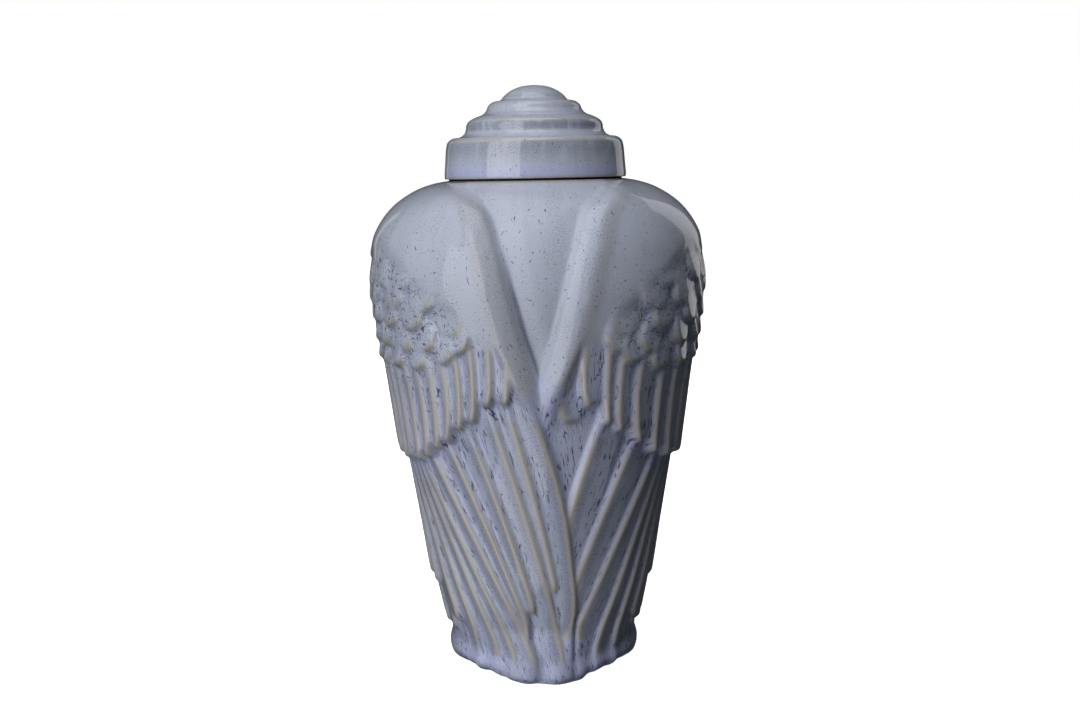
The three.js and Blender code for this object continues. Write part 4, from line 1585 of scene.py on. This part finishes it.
@dataclass
class Studio:
    """Camera, soft lights, a white surround and a pale floor."""

    focal_pixels: float = 1280.0
    picture_width: float = 1080.0
    sensor: float = 36.0
    camera_distance: float = 0.712
    camera_height: float = 0.2737
    camera_offset: float = 0.00072
    pitch: float = 8.42
    roll: float = 1.05
    room_colour: tuple[float, ...] = (0.8, 0.9, 1.0, 1.0)
    room_strength: float = 0.042
    white: tuple[float, ...] = (1.0, 1.0, 1.0, 1.0)
    paper: tuple[float, ...] = (0.9, 0.9, 0.9, 1.0)
    floor_size: float = 12.0
    lights: tuple[Softbox, ...] = (
        Softbox("key", azimuth=-40, distance=1.25, height=0.4, size=(1.0, 2.8), power=12, aim=0.4),
        Softbox(
            "key fill", azimuth=-22, distance=1.3, height=0.9, size=(0.5, 0.8), power=3, aim=0.5,
            mirrored=False,
        ),
        Softbox(
            "left bank", azimuth=-85, distance=1.2, height=1.0, size=(1.0, 1.2), power=2, mirrored=False,
        ),
        Softbox(
            "front bank", azimuth=-12, distance=0.9, height=1.6, size=(1.0, 1.0), power=9.5, mirrored=False,
        ),
        Softbox("top bank", azimuth=-20, distance=0.3, height=1.7, size=(1.2, 1.2), power=4),
        Softbox(
            "window", azimuth=134, distance=0.7, height=0.4, size=(0.3, 0.7), power=0.4, aim=0.4,
            lights_form=False,
        ),
        Softbox(
            "rear strip", azimuth=-145, distance=1.1, height=0.25, size=(0.1, 0.8), power=0.1, aim=0.25,
            lights_form=False,
        ),
        Softbox(
            "back bank", azimuth=180, distance=1.3, height=0.9, size=(0.7, 1.4), power=9, mirrored=False,
        ),
    )  # fmt: skip

    def camera(self) -> None:
        """Stands the camera where the photograph was taken from."""
        data = bpy.data.cameras.new("camera")
        data.sensor_width = self.sensor
        data.lens = self.focal_pixels / self.picture_width * self.sensor
        data.clip_start = 0.01
        eye = placed("camera", data)
        tilt, turn = math.radians(self.pitch), math.radians(self.roll)
        right = Vector((1, 0, 0))
        up = Vector((0, math.sin(tilt), math.cos(tilt)))
        across = math.cos(turn) * right - math.sin(turn) * up
        upward = math.sin(turn) * right + math.cos(turn) * up
        back = across.cross(upward)
        rotation = Matrix((across, upward, back)).transposed()
        place = Vector((self.camera_offset, -self.camera_distance, self.camera_height))
        eye.matrix_world = Matrix.Translation(place) @ rotation.to_4x4()
        bpy.context.scene.camera = eye

    def world(self) -> None:
        """White behind the urn, and a dim grey room for light and reflections."""
        world = bpy.data.worlds.new("room")
        world.use_nodes = True
        bpy.context.scene.world = world
        nodes = Nodes(world.node_tree)
        room = world.node_tree.nodes["Background"]
        nodes.fill(room, {"Color": self.room_colour, "Strength": self.room_strength})
        white = nodes.add("ShaderNodeBackground", {"Color": self.white, "Strength": 1.0})
        seen = nodes.add("ShaderNodeLightPath").outputs["Is Camera Ray"]
        blend = nodes.add("ShaderNodeMixShader", {0: seen, 1: room.outputs[0], 2: white.outputs[0]})
        nodes.fill(world.node_tree.nodes["World Output"], {"Surface": blend.outputs[0]})

    def floor(self) -> None:
        """A wide pale floor under the foot."""
        half = self.floor_size / 2
        mesh = bpy.data.meshes.new("floor")
        square = [(-half, -half, 0), (half, -half, 0), (half, half, 0), (-half, half, 0)]
        mesh.from_pydata(square, [], [(0, 1, 2, 3)])
        material, nodes, shader = surface("floor_paper")
        looks = {"Base Color": self.paper, "Roughness": 0.9, "Emission Color": self.white}
        nodes.fill(shader, looks | {"Emission Strength": 1.0})
        mesh.materials.append(material)
        floor = placed("floor", mesh)
        floor.visible_glossy = False
        floor.visible_diffuse = False
        floor.visible_shadow = False

    def build(self) -> None:
        """Sets up the whole studio."""
        self.camera()
        self.world()
        self.floor()
        for light in self.lights:
            light.build()
        bpy.context.scene.view_settings.view_transform = "Standard"


def main() -> None:
    """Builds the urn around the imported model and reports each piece."""
    logging.basicConfig(level=logging.INFO, format="%(name)s: %(message)s")
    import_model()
    Studio().build()
    limits = tuple(np.array(corner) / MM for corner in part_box("urn_body"))
    pattern = ReactiveGlaze().group()
    clay = BareClay().material("bare_clay")
    body = UrnBody(limits).build(ReactiveGlaze().material("body_glaze", pattern), clay)
    lid = Lid().build(ReactiveGlaze(coat_gloss=LID_GLOSS).material("lid_glaze", pattern), clay)
    for piece, node, slot in ((body, "urn_body", "body_glaze"), (lid, "lid", "lid_glaze")):
        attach(piece, BODY)
        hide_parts(node)
        piece.data.calc_loop_triangles()
        log.info("%s: %d triangles", piece.name, len(piece.data.loop_triangles))


if __name__ == "__main__":
    main()
